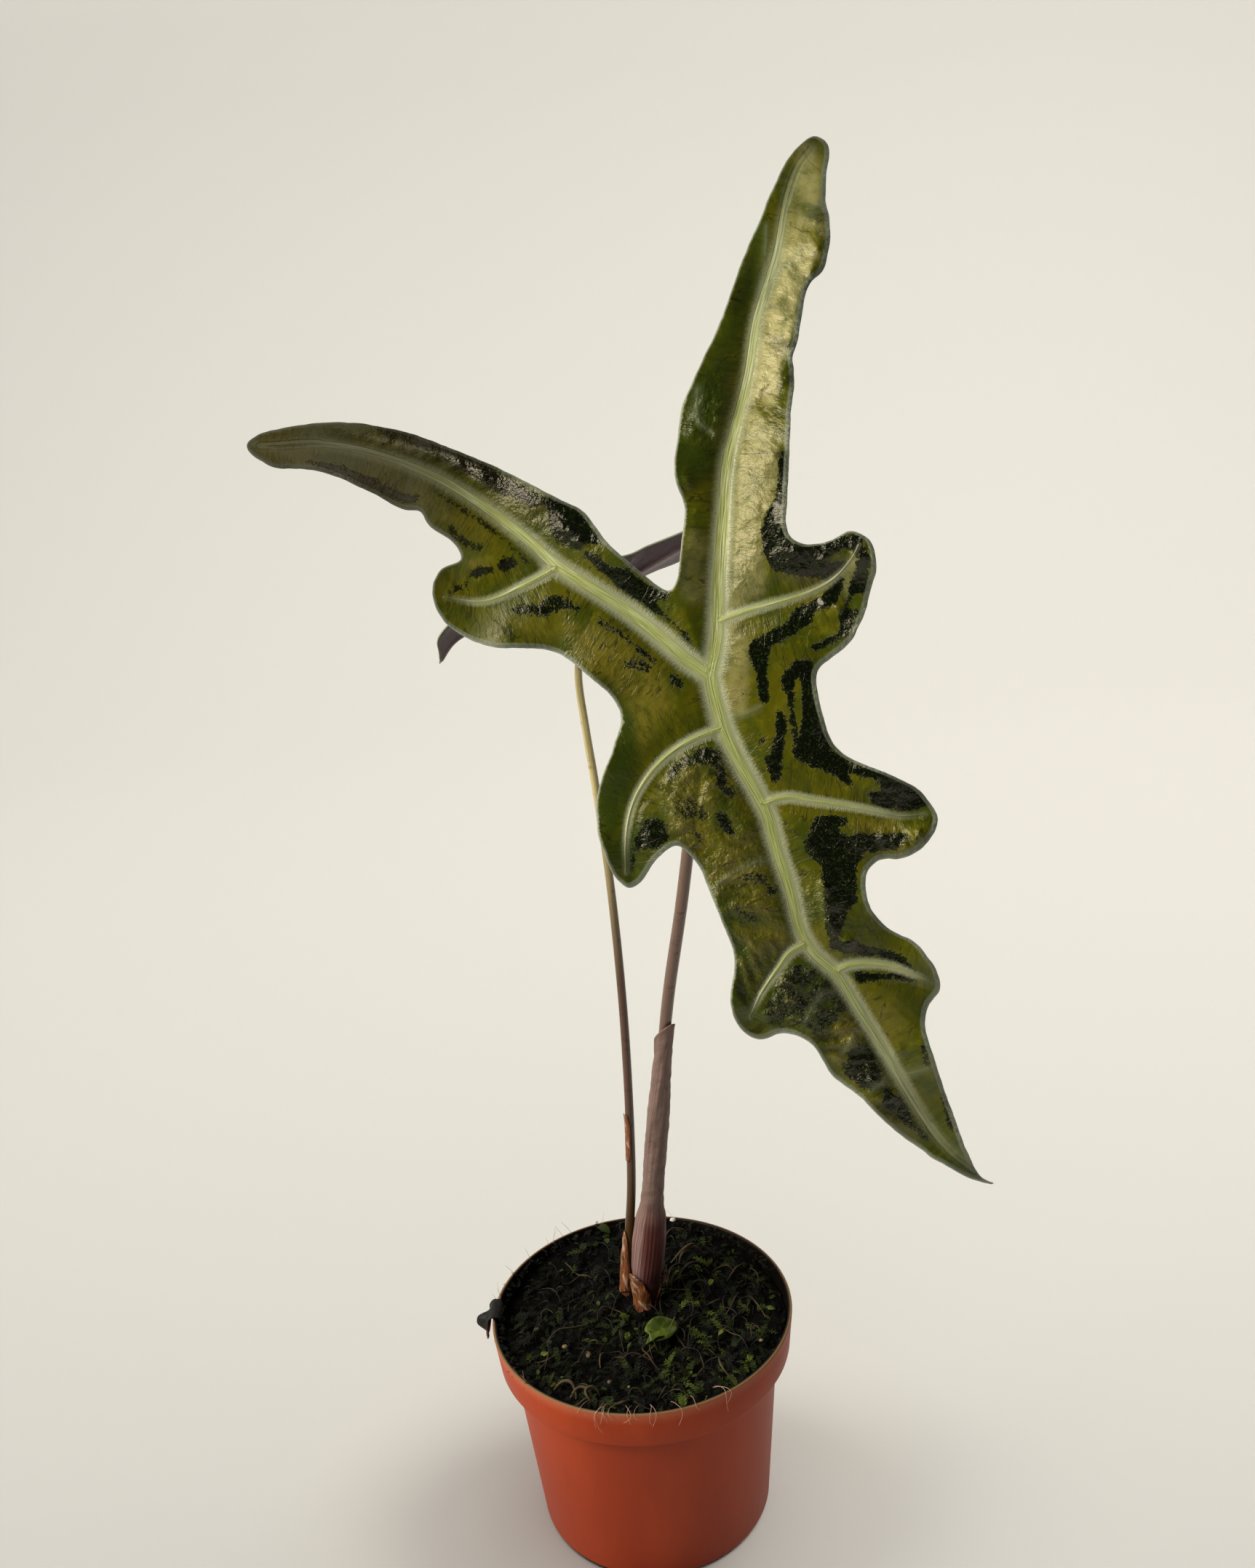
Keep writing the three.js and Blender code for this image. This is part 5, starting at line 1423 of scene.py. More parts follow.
# %% [markdown]
# ## Pot
#
# A nursery pot is a thin plastic moulding that draws out of its mould upwards. It could be a cone
# with insets, but its collar and ledge are easier to see in a half profile, which is spun round
# its axis. Small bevels round its edges, and eight drain holes are cut out of its floor.

# %% Spun pot
pot_height = 70
rim_radius = 45
foot_radius = 35
pot_wall = 1.2
pot_floor = 1.6
collar_low = 58
collar_low_radius = 43.8
ledge_low = 55
wall_top_radius = 39.8


def inner_radius(z):
    """Inner radius of the pot at a height."""
    heights = [0, ledge_low, collar_low, pot_height]
    outer = [foot_radius, wall_top_radius, collar_low_radius, rim_radius]
    return float(np.interp(z, heights, outer)) - pot_wall


def spin(name, profile, steps):
    """A solid of revolution: a half profile of (radius, height) in mm, spun round the Z axis."""
    mesh = bpy.data.meshes.new(name)
    corners = [(r * MM, 0, z * MM) for r, z in profile]
    mesh.from_pydata(corners, [(i, i + 1) for i in range(len(corners) - 1)], [])
    piece = add_object(name, mesh)
    select_only(piece)
    bpy.ops.object.mode_set(mode="EDIT")
    bpy.ops.mesh.select_all(action="SELECT")
    bpy.ops.mesh.spin(steps=steps, angle=2 * math.pi, center=(0, 0, 0), axis=(0, 0, 1))
    bpy.ops.mesh.select_all(action="SELECT")
    bpy.ops.mesh.remove_doubles(threshold=1e-6)
    bpy.ops.mesh.normals_make_consistent(inside=False)
    bpy.ops.object.mode_set(mode="OBJECT")
    return piece


low_radius = foot_radius + (wall_top_radius - foot_radius) * 2 / ledge_low
pot_profile = [
    (0, 0), (foot_radius - 2, 0), (foot_radius - 1.3, 0.1), (foot_radius - 0.6, 0.6),
    (foot_radius - 0.1, 1.3), (low_radius, 2), (wall_top_radius, ledge_low),
    (collar_low_radius, collar_low), (rim_radius, pot_height), (rim_radius - pot_wall, pot_height),
    (inner_radius(collar_low), collar_low), (inner_radius(ledge_low), ledge_low),
    (inner_radius(pot_floor), pot_floor), (0, pot_floor),
]
pot_steps = 192
pot = spin("nursery_pot", pot_profile, pot_steps)
modified(
    pot, "BEVEL", width=0.35 * MM, segments=3, limit_method="ANGLE", angle_limit=math.radians(18))
hole_count = 8
hole_radius = 3
hole_circle = 24
for k in range(hole_count):
    angle = (k + 0.5) / hole_count * 2 * math.pi
    x, y = hole_circle * MM * math.cos(angle), hole_circle * MM * math.sin(angle)
    bpy.ops.object.select_all(action="DESELECT")
    bpy.ops.mesh.primitive_cylinder_add(
        vertices=32, radius=hole_radius * MM, depth=6 * MM, location=(x, y, pot_floor / 2 * MM))
    cutter = bpy.context.object
    modified(pot, "BOOLEAN", object=cutter, operation="DIFFERENCE")
    bpy.data.objects.remove(cutter, do_unlink=True)
select_only(pot)
bpy.ops.object.shade_smooth_by_angle(angle=math.radians(35))
print("pot:", len(pot.data.polygons), "faces")

# %% [markdown]
# Injection-moulded polypropylene, coloured terracotta, is satin and a little wavy along its draw.
# It has faint scuffs, dust near the rim, and a thin olive line along its top that is a painted highlight.
# These follow the pot's height, so Object coordinates serve them and no map has to be unfolded.

# %% Moulded plastic
pot_skin, shader, node = new_material("terracotta_polypropylene", {"Specular IOR Level": 0.15})
place = node("place")
height = node("z", place)
cloud = node("noise", node("stretch", place, (1, 1, 0.35)), METRE / 22, 3, 0.55)
scuff = node("noise", node("stretch", place, (1, 1, 0.06)), METRE / 1.2, 4, 0.65)
dust = node("noise", place, METRE / 0.8, 6, 0.7)
clay = node("mix", "#983410", "#a43c16", node("step", cloud, 0.35, 0.68))
clay = node("mix", clay, "#a85432", node("step", scuff, 0.6, 0.75, 0.0, 0.18))
rim_height = pot_height * MM
near_rim = node("step", height, rim_height - 4.5 * MM, rim_height + 0.2 * MM, 0.0, 0.55)
clay = node("mix", clay, "#c08a6a", node("MULTIPLY", near_rim, dust))
# A thin olive line along the rim's top is a painted highlight.
ragged = node("ADD", height, node("MULTIPLY", dust, 0.6 * MM))
painted_rim_highlight = node("step", ragged, rim_height - 0.15 * MM, rim_height + 0.25 * MM, 0.0, 0.7)
clay = node("mix", clay, "#6d6842", painted_rim_highlight)
# The inner wall above the soil is darkened nearly to black: painted shade, speckled by the dust pattern.
flat = node("length", node("stretch", place, (1, 1, 0)))
within = node("SUBTRACT", flat, node("MULTIPLY", height, 0.1))
inside = node("step", within, 0.0376, 0.0371)
above_soil = node("step", height, (collar_low - 0.8) * MM, (collar_low - 0.2) * MM)
inside = node("MULTIPLY", inside, above_soil)
clay = node("mix", clay, "#0c0805", node("MULTIPLY", inside, node("step", dust, 0.12, 0.32)))
feed(clay, shader, "Base Color")
feed(node("range", cloud, 0.0, 1.0, 0.4, 0.52), shader, "Roughness")
feed(node("bump", 0.5, 0.5 * MM, node("ADD", cloud, node("MULTIPLY", scuff, 0.12))), shader, "Normal")
pot.data.materials.append(pot_skin)

# %% [markdown]
# ## Soil and what grows on it
#
# The soil is a spun plug whose top is raised point by point into lumps. Over it lie crumbs of
# peat, shoots of moss, dead brown threads, pale seeds, and one bright seedling.

# %% Soil
soil_top = 65


def moss_height(x, y):
    """Height of the soil's top, in mm: lumpy, higher at the back and lower at the left."""
    waves = (
        np.sin(x * 0.42 + 1.3) * np.cos(y * 0.37 - 0.6) + 0.6 * np.sin(x * 0.83 - y * 0.56 + 2.1)
        + 0.5 * np.cos(x * 0.31 + y * 0.94)
    )
    back = 3.6 * smooth_step(y / rim_radius, 0.3, 1)
    front = 1.2 * smooth_step(-y / rim_radius, 0.3, 1)
    left = 0.5 * smooth_step(-x / rim_radius, 0.3, 1)
    return soil_top + back + front - left + 0.6 * waves


soil_edge = inner_radius(soil_top) - 0.2
soil_rings = 72
soil_profile = [(0, pot_floor + 0.3), (inner_radius(2) - 1.5, pot_floor + 0.3)]
soil_profile += [(inner_radius(z) - 0.3, z) for z in (3.2, ledge_low, collar_low)]
soil_profile += [(soil_edge * (1 - k / soil_rings), soil_top) for k in range(soil_rings + 1)]
soil = spin("potting_soil", soil_profile, 224)
for vertex in soil.data.vertices:
    x, y, z = vertex.co / MM
    if abs(z - soil_top) < 0.01:
        crumbs = 0.7 * noise.fractal((x * 0.5, y * 0.5, 2.0), 0.7, 2.1, 5)
        vertex.co.z = (float(moss_height(x, y)) + crumbs) * MM
soil.data.shade_smooth()

# Peat and bark fines are dark and damp. Their colour here is near black, darker than their own, as painted
# shade over the soil.
soil_skin, shader, node = new_material("damp_peat_soil", {"Roughness": 0.9, "Specular IOR Level": 0.1})
place = node("place")
crumb = node("noise", place, METRE / 1.4, 6, 0.7)
peat = node("mix", "#020202", "#0f0b06", node("step", crumb, 0.45, 0.75))
feed(peat, shader, "Base Color")
feed(node("bump", 1.0, 0.8 * MM, crumb), shader, "Normal")
soil.data.materials.append(soil_skin)
print("soil:", len(soil.data.polygons), "faces")

# %% [markdown]
# Moss is far too many small parts to model one by one, so one shoot is made as a small pattern:
# a bent stem with two rows of pointed leaflets. It is then copied, turned, bent and scaled over
# the whole soil in one mesh. Each copy keeps a tone, which the moss colour is picked from.

# %% Pattern of a moss shoot
random = np.random.default_rng(7)


def leaflet(base, way, side, length, width):
    """Four corners of a pointed, slightly folded leaflet."""
    middle = base + 0.45 * length * way
    return [base, middle + width * side, base + length * way, middle - width * side]


def moss_pattern(leaflets, length, leaf_length, bend):
    """Corners and faces of one shoot that rises from the origin and bends over to +X."""
    corners = []
    spine = []
    for k in range(leaflets + 1):
        t = k / leaflets
        spine.append(np.array([bend * length * t * t, 0, length * t * (1 - 0.25 * bend * t)]))
    for k in range(leaflets):
        way = spine[k + 1] - spine[k]
        way /= np.linalg.norm(way)
        side = np.array([0, 1.0, 0])
        up = np.cross(way, side)
        size = leaf_length * (0.55 + 0.6 * math.sin(math.pi * (k + 1) / (leaflets + 1)))
        for sign in (-1, 1):
            out = 0.75 * sign * side + 0.55 * way + 0.25 * up * (1 if k % 2 else -0.6)
            out /= np.linalg.norm(out)
            corners += leaflet(spine[k], out, np.cross(out, up), size, size * 0.17)
    for a, b in zip(spine, spine[1:]):
        corners += [a + (0, 0.07, 0), a - (0, 0.07, 0), b - (0, 0.05, 0), b + (0, 0.05, 0)]
    return np.array(corners), [(k, k + 1, k + 2, k + 3) for k in range(0, len(corners), 4)]


# %% Scatter copies of a pattern


def scatter(name, pattern, faces, places, turns, sizes, tones):
    """One mesh of many copies of a small pattern, each with its own place, turn, size and tone."""
    count = len(pattern)
    corners = np.concatenate([
        place + size * (pattern @ turn.T) for place, turn, size in zip(places, turns, sizes)
    ])
    all_faces = [tuple(k * count + i for i in face) for k in range(len(places)) for face in faces]
    mesh = bpy.data.meshes.new(name)
    mesh.from_pydata(corners * MM, [], all_faces)
    keep_values(mesh, "tone", np.repeat(tones, count))
    mesh.update()
    return add_object(name, mesh)


def turned(heading, tilt):
    """Rotation by a tilt away from +Z, towards a heading."""
    return np.array(Matrix.Rotation(heading, 3, "Z") @ Matrix.Rotation(tilt, 3, "Y"))


# %% Places on the soil
stem_places = [(1.2, 7.9, 5.5), (-4.5, 14.5, 3.2)]


def soil_places(count, reach):
    """Random places on the soil, evenly spread and clear of the stalks."""
    places = []
    while len(places) < count:
        x, y = random.uniform(-reach, reach, 2)
        clear = all(math.hypot(x - a, y - b) > r for a, b, r in stem_places)
        if math.hypot(x, y) < reach and clear:
            places.append((x, y, float(moss_height(x, y))))
    return np.array(places)


def leaning(places, low, high):
    """A turn for each shoot: any way in the middle of the soil, and inwards near the pot's side."""
    turns = []
    for x, y, _ in places:
        heading = random.uniform(0, 2 * math.pi)
        if math.hypot(x, y) > soil_edge - 6:
            heading = math.atan2(-y, -x) + random.uniform(-0.9, 0.9)
        turns.append(turned(heading, random.uniform(low, high)))
    return turns


# %% Moss over the soil
moss_pieces = []
shoot_kinds = [("feather_moss", 11, 5.0, 1.1, 0.75, 420), ("leafy_moss", 6, 3.0, 1.4, 0.5, 420),
               ("low_moss", 8, 2.8, 0.8, 0.9, 1000)]
for name, leaflets, length, leaf_length, bend, count in shoot_kinds:
    pattern, faces = moss_pattern(leaflets, length, leaf_length, bend)
    places = soil_places(count, soil_edge - 0.8)
    places[:, 2] -= 0.5
    sizes = random.uniform(0.6, 1.2, count)
    tuft = smooth_step(soft_noise(places[:, :2], 6.5, 2.2), -0.3, 0.5)
    growing = 0.4 + 0.4 * smooth_step(places[:, 0], -25, 20)
    growing += 0.25 * smooth_step(-places[:, 1], -10, 25)
    tones = 0.6 * random.beta(1.2, 3.4, count) + growing * tuft * random.uniform(0.3, 1.0, count)
    tones = np.clip(tones, 0, 1)
    turns = leaning(places, 0.05, 1.15)
    moss_pieces.append(scatter(name, pattern, faces, places, turns, sizes, tones))

# Along the back and the left, dark moss grows up the pot's side and over the rim.
count = 300
angles = np.radians(random.uniform(15, 222, count))
reach = random.uniform(41.2, 43.2, count)
places = np.stack(
    [reach * np.cos(angles), reach * np.sin(angles), random.uniform(67.6, 69.6, count)], axis=1)
turns = [turned(angle + random.uniform(-1.4, 1.4), random.uniform(0.2, 1.1)) for angle in angles]
moss_pieces.append(scatter(
    "rim_moss", pattern, faces, places, turns, random.uniform(0.4, 0.85, count),
    random.beta(1.2, 4.5, count),
))

# Living moss is wet, brown where it is dead and green where it grows. Its tones are kept near black as
# painted shade over the soil.
moss_skin, shader, node = new_material("damp_moss", {"Roughness": 0.7, "Specular IOR Level": 0.2})
moss_colour_with_shade = node(
    "ramp", node("attribute", attribute_name="tone"),
    stops=[(0.0, "#020201"), (0.3, "#0a0e03"), (0.55, "#1a2407"), (0.8, "#333f0e"), (1.0, "#56661e")],
)
feed(moss_colour_with_shade, shader, "Base Color")
for piece in moss_pieces:
    piece.data.materials.append(moss_skin)
print("moss:", sum(len(piece.data.polygons) for piece in moss_pieces), "faces")

# %% [markdown]
# Loose stems of moss lie between the shoots, dead and living, from black-brown through olive to
# straw. As bevelled curves they would be heavy in such numbers, so each is one flat ribbon that
# bows up from the soil and comes down again, copied like the shoots.

# %% Strands among the moss


def strand_pattern(length, rise, bow, half_width):
    """A thin ribbon of six quads that rises from the soil in an arc and comes down again."""
    corners = []
    for k in range(7):
        t = k / 6
        middle = np.array([length * (t - 0.5), bow * math.sin(2.4 * t), rise * math.sin(math.pi * t)])
        across = half_width * (1 - 0.7 * abs(2 * t - 1)) * np.array([0, 0.75, 0.65])
        corners += [middle - across, middle + across]
    return np.array(corners), [(2 * k, 2 * k + 2, 2 * k + 3, 2 * k + 1) for k in range(6)]


strands = []
for name, length, rise, bow, half_width, count in (
    ("short_strands", 4.5, 2.2, 1.4, 0.17, 240), ("long_strands", 8.5, 1.8, 2.6, 0.15, 140),
):
    ribbon, ribbon_faces = strand_pattern(length, rise, bow, half_width)
    places = soil_places(count, soil_edge - 4)
    places[:, 2] += random.uniform(0, 1.6, count)
    turns = [turned(random.uniform(0, 2 * math.pi), random.uniform(-0.35, 0.35)) for _ in places]
    strands.append(scatter(
        name, ribbon, ribbon_faces, places, turns, random.uniform(0.6, 1.15, count),
        random.beta(1.2, 3.0, count),
    ))
strand_skin, shader, node = new_material("olive_and_brown_moss_stems", {
    "Roughness": 0.6, "Specular IOR Level": 0.2,
})
strand_colour = node(
    "ramp", node("attribute", attribute_name="tone"),
    stops=[(0.0, "#040402"), (0.35, "#101206"), (0.6, "#20240b"), (0.85, "#383a18"), (1.0, "#5e5836")],
)
feed(strand_colour, shader, "Base Color")
for piece in strands:
    piece.data.materials.append(strand_skin)
print("strands:", sum(len(piece.data.polygons) for piece in strands), "faces")

# %% [markdown]
# Crumbs of peat, the husks of seeds and one white grain of perlite lie on top. One rough lump, a
# coarse ball with its corners moved, serves for all of them, because its copies differ in size,
# turn and tone, and the eye takes them for different crumbs.

# %% Crumbs and husks


def crumb_pattern(seed):
    """A rough lump of peat: a coarse ball with each corner moved."""
    ball = bmesh.new()
    bmesh.ops.create_icosphere(ball, subdivisions=1, radius=1)
    ball.verts.index_update()
    corners = np.array([vertex.co * (1 + 0.35 * noise.noise(vertex.co * 2 + Vector((seed, 0, 0))))
                        for vertex in ball.verts])
    faces = [tuple(vertex.index for vertex in face.verts) for face in ball.faces]
    ball.free()
    return corners * (1, 0.75, 0.55), faces


pattern, faces = crumb_pattern(4)
places = soil_places(650, soil_edge - 0.4)
turns = [turned(random.uniform(0, 6.3), random.uniform(0, 1.5)) for _ in places]
crumbs = scatter(
    "peat_crumbs", pattern, faces, places, turns, random.uniform(0.25, 1.1, len(places)),
    random.uniform(0, 1, len(places)),
)
crumb_skin, shader, node = new_material("bark_and_peat_crumbs", {
    "Roughness": 0.8, "Specular IOR Level": 0.1,
})
crumb_colour = node("mix", "#040302", "#1c140c", node("attribute", attribute_name="tone"))
feed(crumb_colour, shader, "Base Color")
crumbs.data.materials.append(crumb_skin)

pale_bits = [(-23.3, -10.7, 1.1), (-16.4, -15.3, 1.2), (-10.4, -27.2, 1.0), (34.3, -14.3, 0.9),
             (-5.0, -30.0, 0.7), (8, -27, 0.6)]
places = np.array([(x, y, float(moss_height(x, y)) + 1.3) for x, y, _ in pale_bits])
seeds = scatter(
    "pale_seed_husks", pattern, faces, places,
    [turned(random.uniform(0, 6.3), 0.4) for _ in places], [size for *_, size in pale_bits],
    np.array([0.9, 0.7, 0.5, 0.8, 0.4, 0.3]),
)
seed_skin, shader, node = new_material("straw_coloured_husks", {"Roughness": 0.5})
husk = node("mix", "#3f3b26", "#8c7452", node("attribute", attribute_name="tone"))
feed(husk, shader, "Base Color")
seeds.data.materials.append(seed_skin)
perlite = scatter(
    "perlite_grain", pattern, faces, np.array([(11.8, 42.3, 69.6)]), [turned(0.4, 0.3)], [1.3],
    np.array([1.0]),
)
perlite_skin, shader, node = new_material("white_perlite", {"Roughness": 0.7})
foam = node("noise", node("place"), METRE / 0.5, 4, 0.55)
feed(node("mix", "#b9bdb8", "#eceeea", foam), shader, "Base Color")
perlite.data.materials.append(perlite_skin)
for piece in (crumbs, seeds, perlite):
    piece.data.shade_smooth()
lump_faces = sum(len(piece.data.polygons) for piece in (crumbs, seeds, perlite))
print("crumbs, husks and perlite:", lump_faces, "faces")

# %% [markdown]
# Dead brown threads arch over the soil, and pale root hairs hang over the rim. Ribbons would show
# their flat backs here, so each is a curve with a round bevel. The stout threads in front of the
# stalks and behind them stand where the plant has them, and the thin ones lie at random.

# %% Dead threads


def thread_line(x, y, length, heading, curl, height):
    """A thread that lies on the soil in a low arc."""
    steps = 14
    points = []
    for k in range(steps):
        t = k / (steps - 1)
        bend = heading + curl * (t - 0.5)
        x += length / steps * math.cos(bend)
        y += length / steps * math.sin(bend)
        drawn_in = min(1, (soil_edge - 0.5) / math.hypot(x, y))
        x, y = x * drawn_in, y * drawn_in
        points.append((x, y, float(moss_height(x, y)) + 0.4 + height * math.sin(math.pi * t)))
    return np.array(points)


def thin_radii(line, radius):
    """Radii of a thread that thins towards both its ends."""
    t = np.linspace(0, 1, len(line))
    return radius * (0.35 + 0.65 * np.sin(math.pi * (0.1 + 0.8 * t)))


lines = []
radii = []
for x, y, _ in soil_places(70, soil_edge - 5):
    length, heading = random.uniform(5, 17), random.uniform(0, 6.3)
    line = thread_line(x, y, length, heading, random.uniform(-3, 3), random.uniform(0.8, 3.2))
    lines.append(line)
    radii.append(thin_radii(line, random.choice([0.16, 0.22, 0.3])))
for x, y, length, heading, curl, height, radius in (
    (-27, -28, 10, -0.5, -2.2, 3.0, 0.55), (-22, -32, 9, -0.2, -2.6, 2.8, 0.5),
    (-15, -35, 9, 1.0, -4.2, 3.0, 0.48), (-10, -36, 9, -0.1, 3.0, 3.0, 0.5),
    (-4, -37, 8, 0.8, -3.4, 3.0, 0.45), (2, -36, 8, 1.1, 2.4, 3.0, 0.38), (7, -35, 7, 0.3, -3.0, 2.6, 0.34),
    (12, 20, 12, 0.7, -1.4, 4.6, 0.6), (9, 24, 12, 0.5, 1.1, 5.4, 0.5), (11, 17, 11, 0.1, -0.9, 4.4, 0.55),
    (8, 14, 10, 0.9, -0.8, 4.0, 0.5), (14, 12, 9, -0.4, -1.6, 3.6, 0.5), (6, 2, 9, 1.3, -1.2, 2.8, 0.32),
    (12, -2, 8, 0.4, 2.4, 3.2, 0.26), (18, 4, 8, 0.2, 1.8, 3.0, 0.32),
):
    line = thread_line(x, y, length, heading, curl, height)
    lines.append(line)
    radii.append(thin_radii(line, radius))
dead_threads = to_mesh(curve_object("dead_brown_threads", lines, radii, 1))
thread_skin, shader, node = new_material("dead_stem_threads", {
    "Roughness": 0.6, "Specular IOR Level": 0.2,
})
cloud = node("noise", node("place"), METRE / 9, 4, 0.55)
thread_colour = node("mix", "#120f07", "#50442c", node("step", cloud, 0.4, 0.68))
feed(thread_colour, shader, "Base Color")
dead_threads.data.materials.append(thread_skin)
print("dead threads:", len(dead_threads.data.polygons), "faces")

# %% Pale threads over the rim
lines = []
radii = []
for degrees, reach, sway in (
    (251.5, 4.6, 0.6), (252.6, 6.0, 1.2), (253.4, 3.2, -0.7), (254.4, 2.0, 0.8), (257, 1.2, -0.9),
    (262.5, 1.8, 1.3), (263.2, 2.4, -0.4), (266, 0.9, 0.7), (271, 2.8, 0.4), (272, 3.6, -0.8),
    (281, 4.4, 0.9), (299.5, 5.6, -0.5), (300.2, 2.6, 0.9), (245, 1.0, 0.5), (288, 1.2, -0.6),
):
    angle = math.radians(degrees)
    inward = [
        (38.5, 67.6), (41, 69.2 + 0.3 * abs(sway)), (43.6, 70.3 + 0.3 * abs(sway)), (45.15, 70.3),
        (45.5, 69.4), (45.35, 69.4 - 0.6 * reach), (45.2, 69.4 - reach),
    ]
    points = []
    for k, (r, z) in enumerate(inward):
        turn_by = angle + 0.022 * sway * math.sin(0.9 * k + degrees)
        points.append((r * math.cos(turn_by), r * math.sin(turn_by), z))
    line = smooth_line(points, 0.5)
    lines.append(line)
    radii.append(np.linspace(0.09, 0.04, len(line)))
for k in range(16):
    angle = math.radians(random.uniform(70, 225))
    spread = random.uniform(-0.12, 0.12)
    tall = random.uniform(1.5, 4.5)
    hair = [(44, 0, 69.8), (44.6, spread * 12, 70.6 + 0.4 * tall), (45.2, spread * 30, 70.8 + tall)]
    line = smooth_line([(
        r * math.cos(angle) - s * math.sin(angle), r * math.sin(angle) + s * math.cos(angle), z,
    ) for r, s, z in hair], 0.5)
    lines.append(line)
    radii.append(np.linspace(0.06, 0.03, len(line)))
pale_threads = to_mesh(curve_object("pale_root_threads", lines, radii, 1))
pale_skin, shader, node = new_material("pale_root_hairs", {"Roughness": 0.45})
pale = node("mix", "#9c6f58", "#d8b8a2", node("noise", node("place"), METRE / 2, 4, 0.55))
feed(pale, shader, "Base Color")
pale_threads.data.materials.append(pale_skin)
print("pale threads:", len(pale_threads.data.polygons), "faces")

# %% [markdown]
# A seedling stands in the moss, with one round green leaf and a smaller one, and tiny leaves of
# the same form lie about it. A disc would be flat, so the leaf is rings of points, cupped, folded
# along its middle and notched at its foot. The seedling's leaves are then thickened.

# %% Seedling


def round_leaf_pattern(rings, sides):
    """A round leaf, cupped and folded a little along its middle, with a notch at its foot."""
    corners = [(0, 0, 0)]
    for ring in range(1, rings + 1):
        for k in range(sides):
            angle = k / sides * 2 * math.pi
            ahead = min(angle, 2 * math.pi - angle)
            notch = 0.28 * math.exp(-((angle - math.pi) / 0.3) ** 2)
            r = ring / rings * (1 - notch + 0.22 * math.exp(-(ahead / 0.4) ** 2))
            x, y = r * math.cos(angle), 0.74 * r * math.sin(angle)
            corners.append((x, y, 0.16 * abs(y) - 0.2 * x * x + 0.03 * math.sin(5 * angle) * r))
    faces = [(0, 1 + k, 1 + (k + 1) % sides) for k in range(sides)]
    for ring in range(rings - 1):
        for k in range(sides):
            a, b = 1 + ring * sides + k, 1 + ring * sides + (k + 1) % sides
            faces.append((a, a + sides, b + sides, b))
    return np.array(corners), faces


pattern, faces = round_leaf_pattern(6, 32)
turns = [
    np.array(Matrix.Rotation(math.radians(heading), 3, "Z") @ Matrix.Rotation(tilt, 3, "X"))
    for heading, tilt in ((25, math.radians(22)), (205, 0.5))
]
seedling = scatter(
    "seedling_leaf", pattern, faces, np.array([(5.1, -10.3, 69.9), (3.4, -12.6, 69.0)]), turns,
    [5.1, 2.8], np.array([0.8, 0.5]),
)
modified(seedling, "SOLIDIFY", thickness=0.25 * MM)
seedling.data.shade_smooth()
lines = []
radii = []
for foot_width, top_width, points in (
    (0.42, 0.26, [(5.5, -8.5, 62.6), (5.5, -8.5, 66), (5.3, -9.3, 68.4), (5.1, -10.3, 69.8)]),
    (0.3, 0.2, [(5.4, -8.6, 63), (5.2, -9.5, 66), (4.4, -11.2, 68), (3.4, -12.6, 69.0)]),
    (0.17, 0.17, [(2.6, -9, 65), (1.6, -10.6, 69.5), (1.8, -12.6, 71.2), (2.8, -14.4, 69.6),
                  (3.6, -15, 66.5)]),
    (0.15, 0.15, [(6.4, -12.4, 65), (6.9, -12.8, 69), (8.4, -11.6, 72.2), (9.6, -10, 73.5)]),
):
    lines.append(smooth_line(points, 0.5))
    radii.append(np.linspace(foot_width, top_width, len(lines[-1])))
seedling_stems = to_mesh(curve_object("seedling_stems", lines, radii, 2))
green_skin, shader, node = new_material("tender_seedling_leaf", {
    "Roughness": 0.5, "Specular IOR Level": 0.3, "Subsurface Weight": 0.1,
    "Subsurface Radius": (0.0005, 0.001, 0.0003),
})
cloud = node("noise", node("place"), METRE / 2.5, 4, 0.55)
fresh = node("mix", "#31400a", "#506010", node("step", cloud, 0.35, 0.65))
feed(fresh, shader, "Base Color")
seedling.data.materials.append(green_skin)
seedling_stems.data.materials.append(green_skin)
print("seedling:", len(seedling.data.polygons), "faces")

# %% Tiny leaves in the moss
pattern, faces = round_leaf_pattern(3, 12)
count = 34
places = soil_places(count, soil_edge - 2)
places[:, 2] += random.uniform(1.5, 3.2, count)
seen_ones = [(-29.2, -14.4, 67.8), (-5.6, -1.2, 68), (38.5, -3.2, 68.5), (-10.9, 38.2, 71.5)]
places = np.vstack([places, seen_ones])
turns = [turned(random.uniform(0, 6.3), random.uniform(0.1, 0.9)) for _ in places]
small_leaves = scatter(
    "small_moss_leaves", pattern, faces, places, turns,
    np.concatenate([random.uniform(0.5, 1.2, count), [1.5, 1.6, 1.4, 2.2]]),
    np.concatenate([random.uniform(0.5, 0.95, count), [1.0, 0.85, 0.95, 0.7]]),
)
small_leaves.data.shade_smooth()
small_leaves.data.materials.append(moss_skin)
print("tiny leaves:", len(small_leaves.data.polygons), "faces")

# %% [markdown]
# A dead scrap of leaf hangs over the rim, brittle and dark, and grey-green where dust and algae
# sit on it. A cloth simulation could drape it, but it would take long and could slide off, so a
# grid follows a hook over the rim and noise crumples it.

# %% Withered scrap
scrap_way = math.radians(176)
scrap_hook = smooth_line(
    [(43, 0, 66.5), (43, 0, 70.1), (44.4, 0, 71.3), (45.9, 0, 70.4), (46.6, 0, 66), (47.3, 0, 61.5)], 0.4)


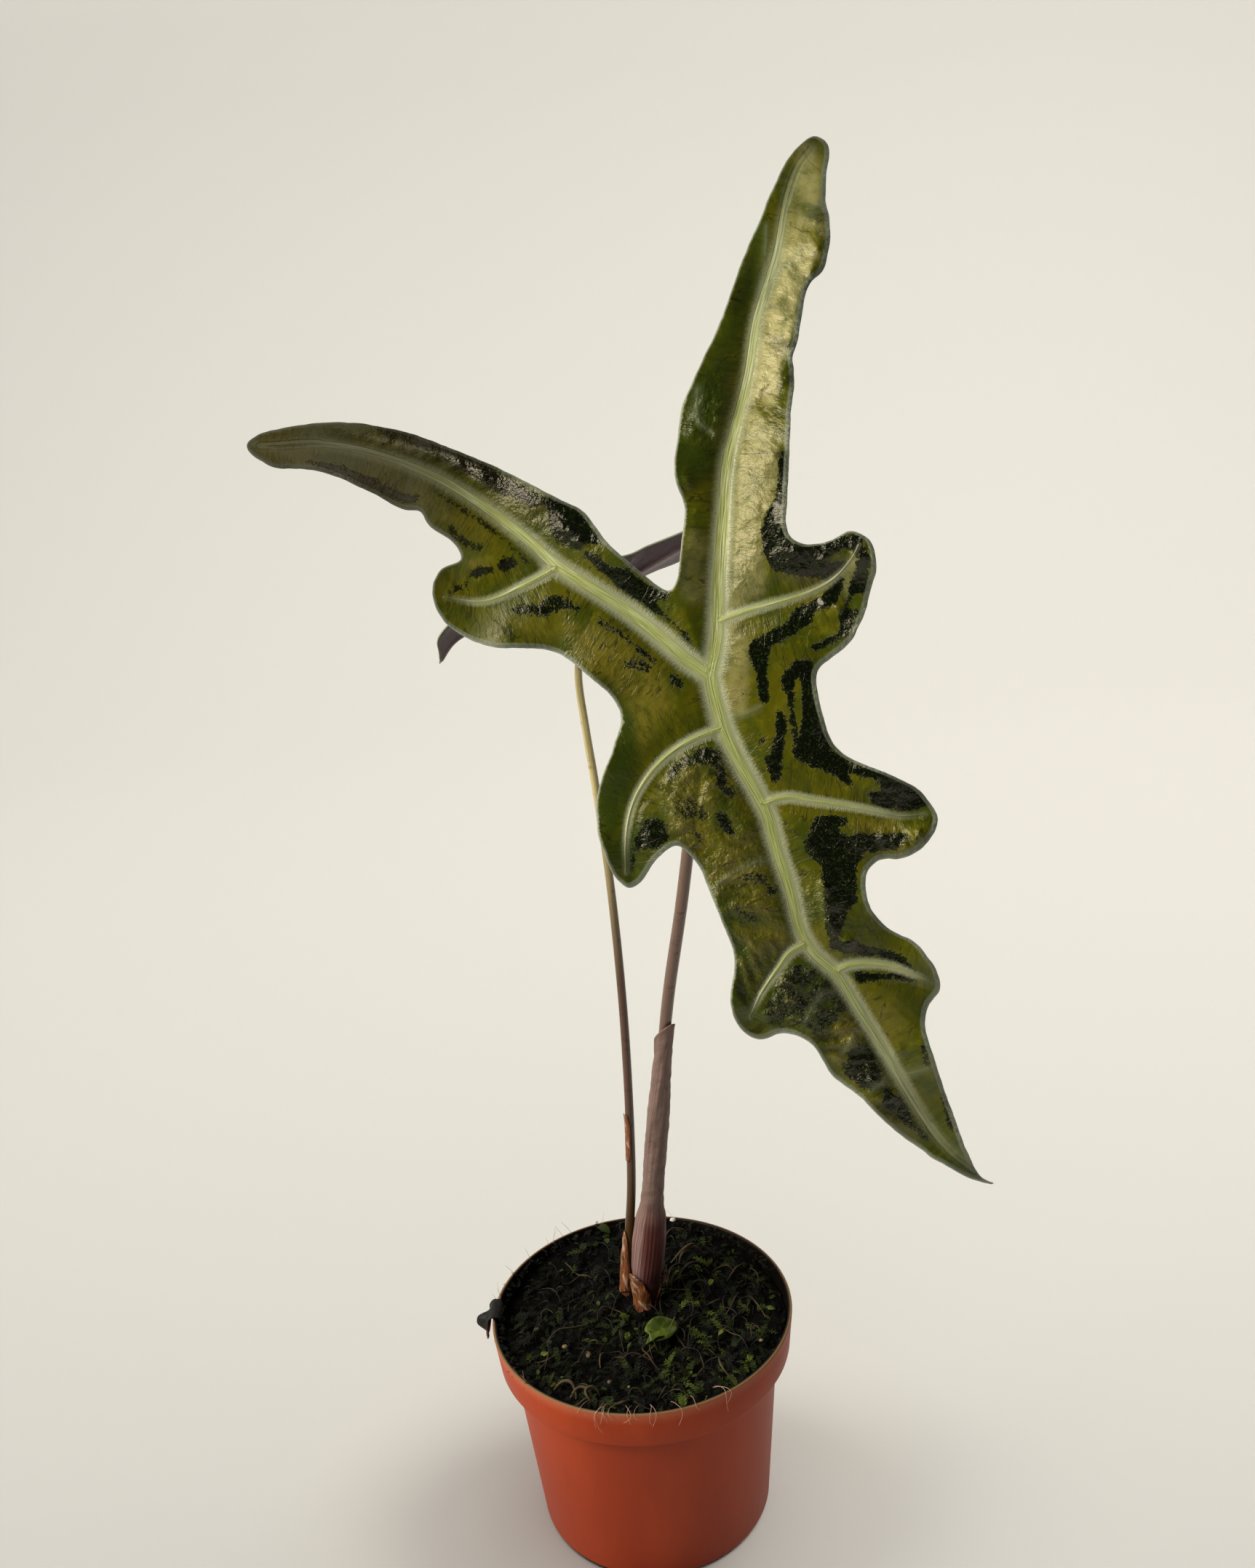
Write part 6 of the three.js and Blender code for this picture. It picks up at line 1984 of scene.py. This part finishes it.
def scrap_place(across, up):
    """Point of a dead leaf's scrap, hooked over the rim and crumpled to a point outwards."""
    k = up * (len(scrap_hook) - 1)
    low = min(int(k), len(scrap_hook) - 2)
    r, _, z = scrap_hook[low] + (scrap_hook[low + 1] - scrap_hook[low]) * (k - low)
    half_width = 1 + 3.4 * math.sin(math.pi * min(0.9, 0.12 + up * 0.95))
    crumpled = float(smooth_step(up, 0.45, 0.62) * (1 - smooth_step(up, 0.7, 0.95)))
    free = float(smooth_step(up, 0.3, 0.6))
    r += 3.4 * math.sin(math.pi * across) ** 5 * crumpled
    r += 0.6 * noise.noise((across * 4, up * 5, 1)) * free
    along = (across - 0.5) * 2 * half_width * (1 + 0.2 * noise.noise((up * 7, across * 3, 4)))
    z += 0.5 * noise.noise((across * 3.3, up * 4, 7)) * free
    return np.array([
        r * math.cos(scrap_way) - along * math.sin(scrap_way),
        r * math.sin(scrap_way) + along * math.cos(scrap_way), z,
    ])


scrap = grid_sheet("withered_leaf_scrap", 24 * fine_sheet, 36 * fine_sheet, scrap_place, 0.3)
scrap_skin, shader, node = new_material("withered_leaf_tissue", {
    "Roughness": 0.6, "Specular IOR Level": 0.25,
})
place = node("place")
rot = node("noise", place, METRE / 2.2, 5, 0.65)
dead = node("mix", "#080706", "#22231d", node("step", rot, 0.4, 0.65))
dead = node("mix", dead, "#4a2416", node("step", node("z", place), 0.067, 0.063, 0.0, 0.8))
feed(dead, shader, "Base Color")
feed(node("bump", 0.8, 0.4 * MM, rot), shader, "Normal")
scrap.data.materials.append(scrap_skin)
print("scrap:", len(scrap.data.polygons), "faces")

# %% [markdown]
# ## Which piece stands for which part
#
# Every piece rides on the one body there is. Each part of the imported model is hidden and replaced
# by its finer piece, and the small things on the soil ride on the same body.

# %% Ride and replace
stand_ins = {
    "pot": (pot, "pot_plastic"),
    "soil": (soil, "potting_soil"),
    "front_stalk": (front_stalk, "stalk"),
    "front_sheath": (sheath, "dry_sheath"),
    "front_leaf": (front_leaf, "leaf_blade"),
    "rear_stalk": (rear_stalk, "stalk"),
    "rear_leaf": (rear_leaf, "leaf_underside"),
    "front_scale": (scales["front_papery_scale"], "papery_scale"),
    "side_scale": (scales["side_papery_scale"], "papery_scale"),
    "rear_scale": (scales["rear_papery_scale"], "papery_scale"),
    "seedling": (seedling, "seedling"),
    "withered_scrap": (scrap, "withered_leaf"),
}
for part, (piece, slot) in stand_ins.items():
    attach(piece, "root")
    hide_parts(part)
on_soil = [
    *moss_pieces, *strands, crumbs, seeds, perlite, dead_threads, pale_threads, small_leaves,
]
for piece in on_soil:
    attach(piece, "root")
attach(seedling_stems, "root")
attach(sliver, "root")
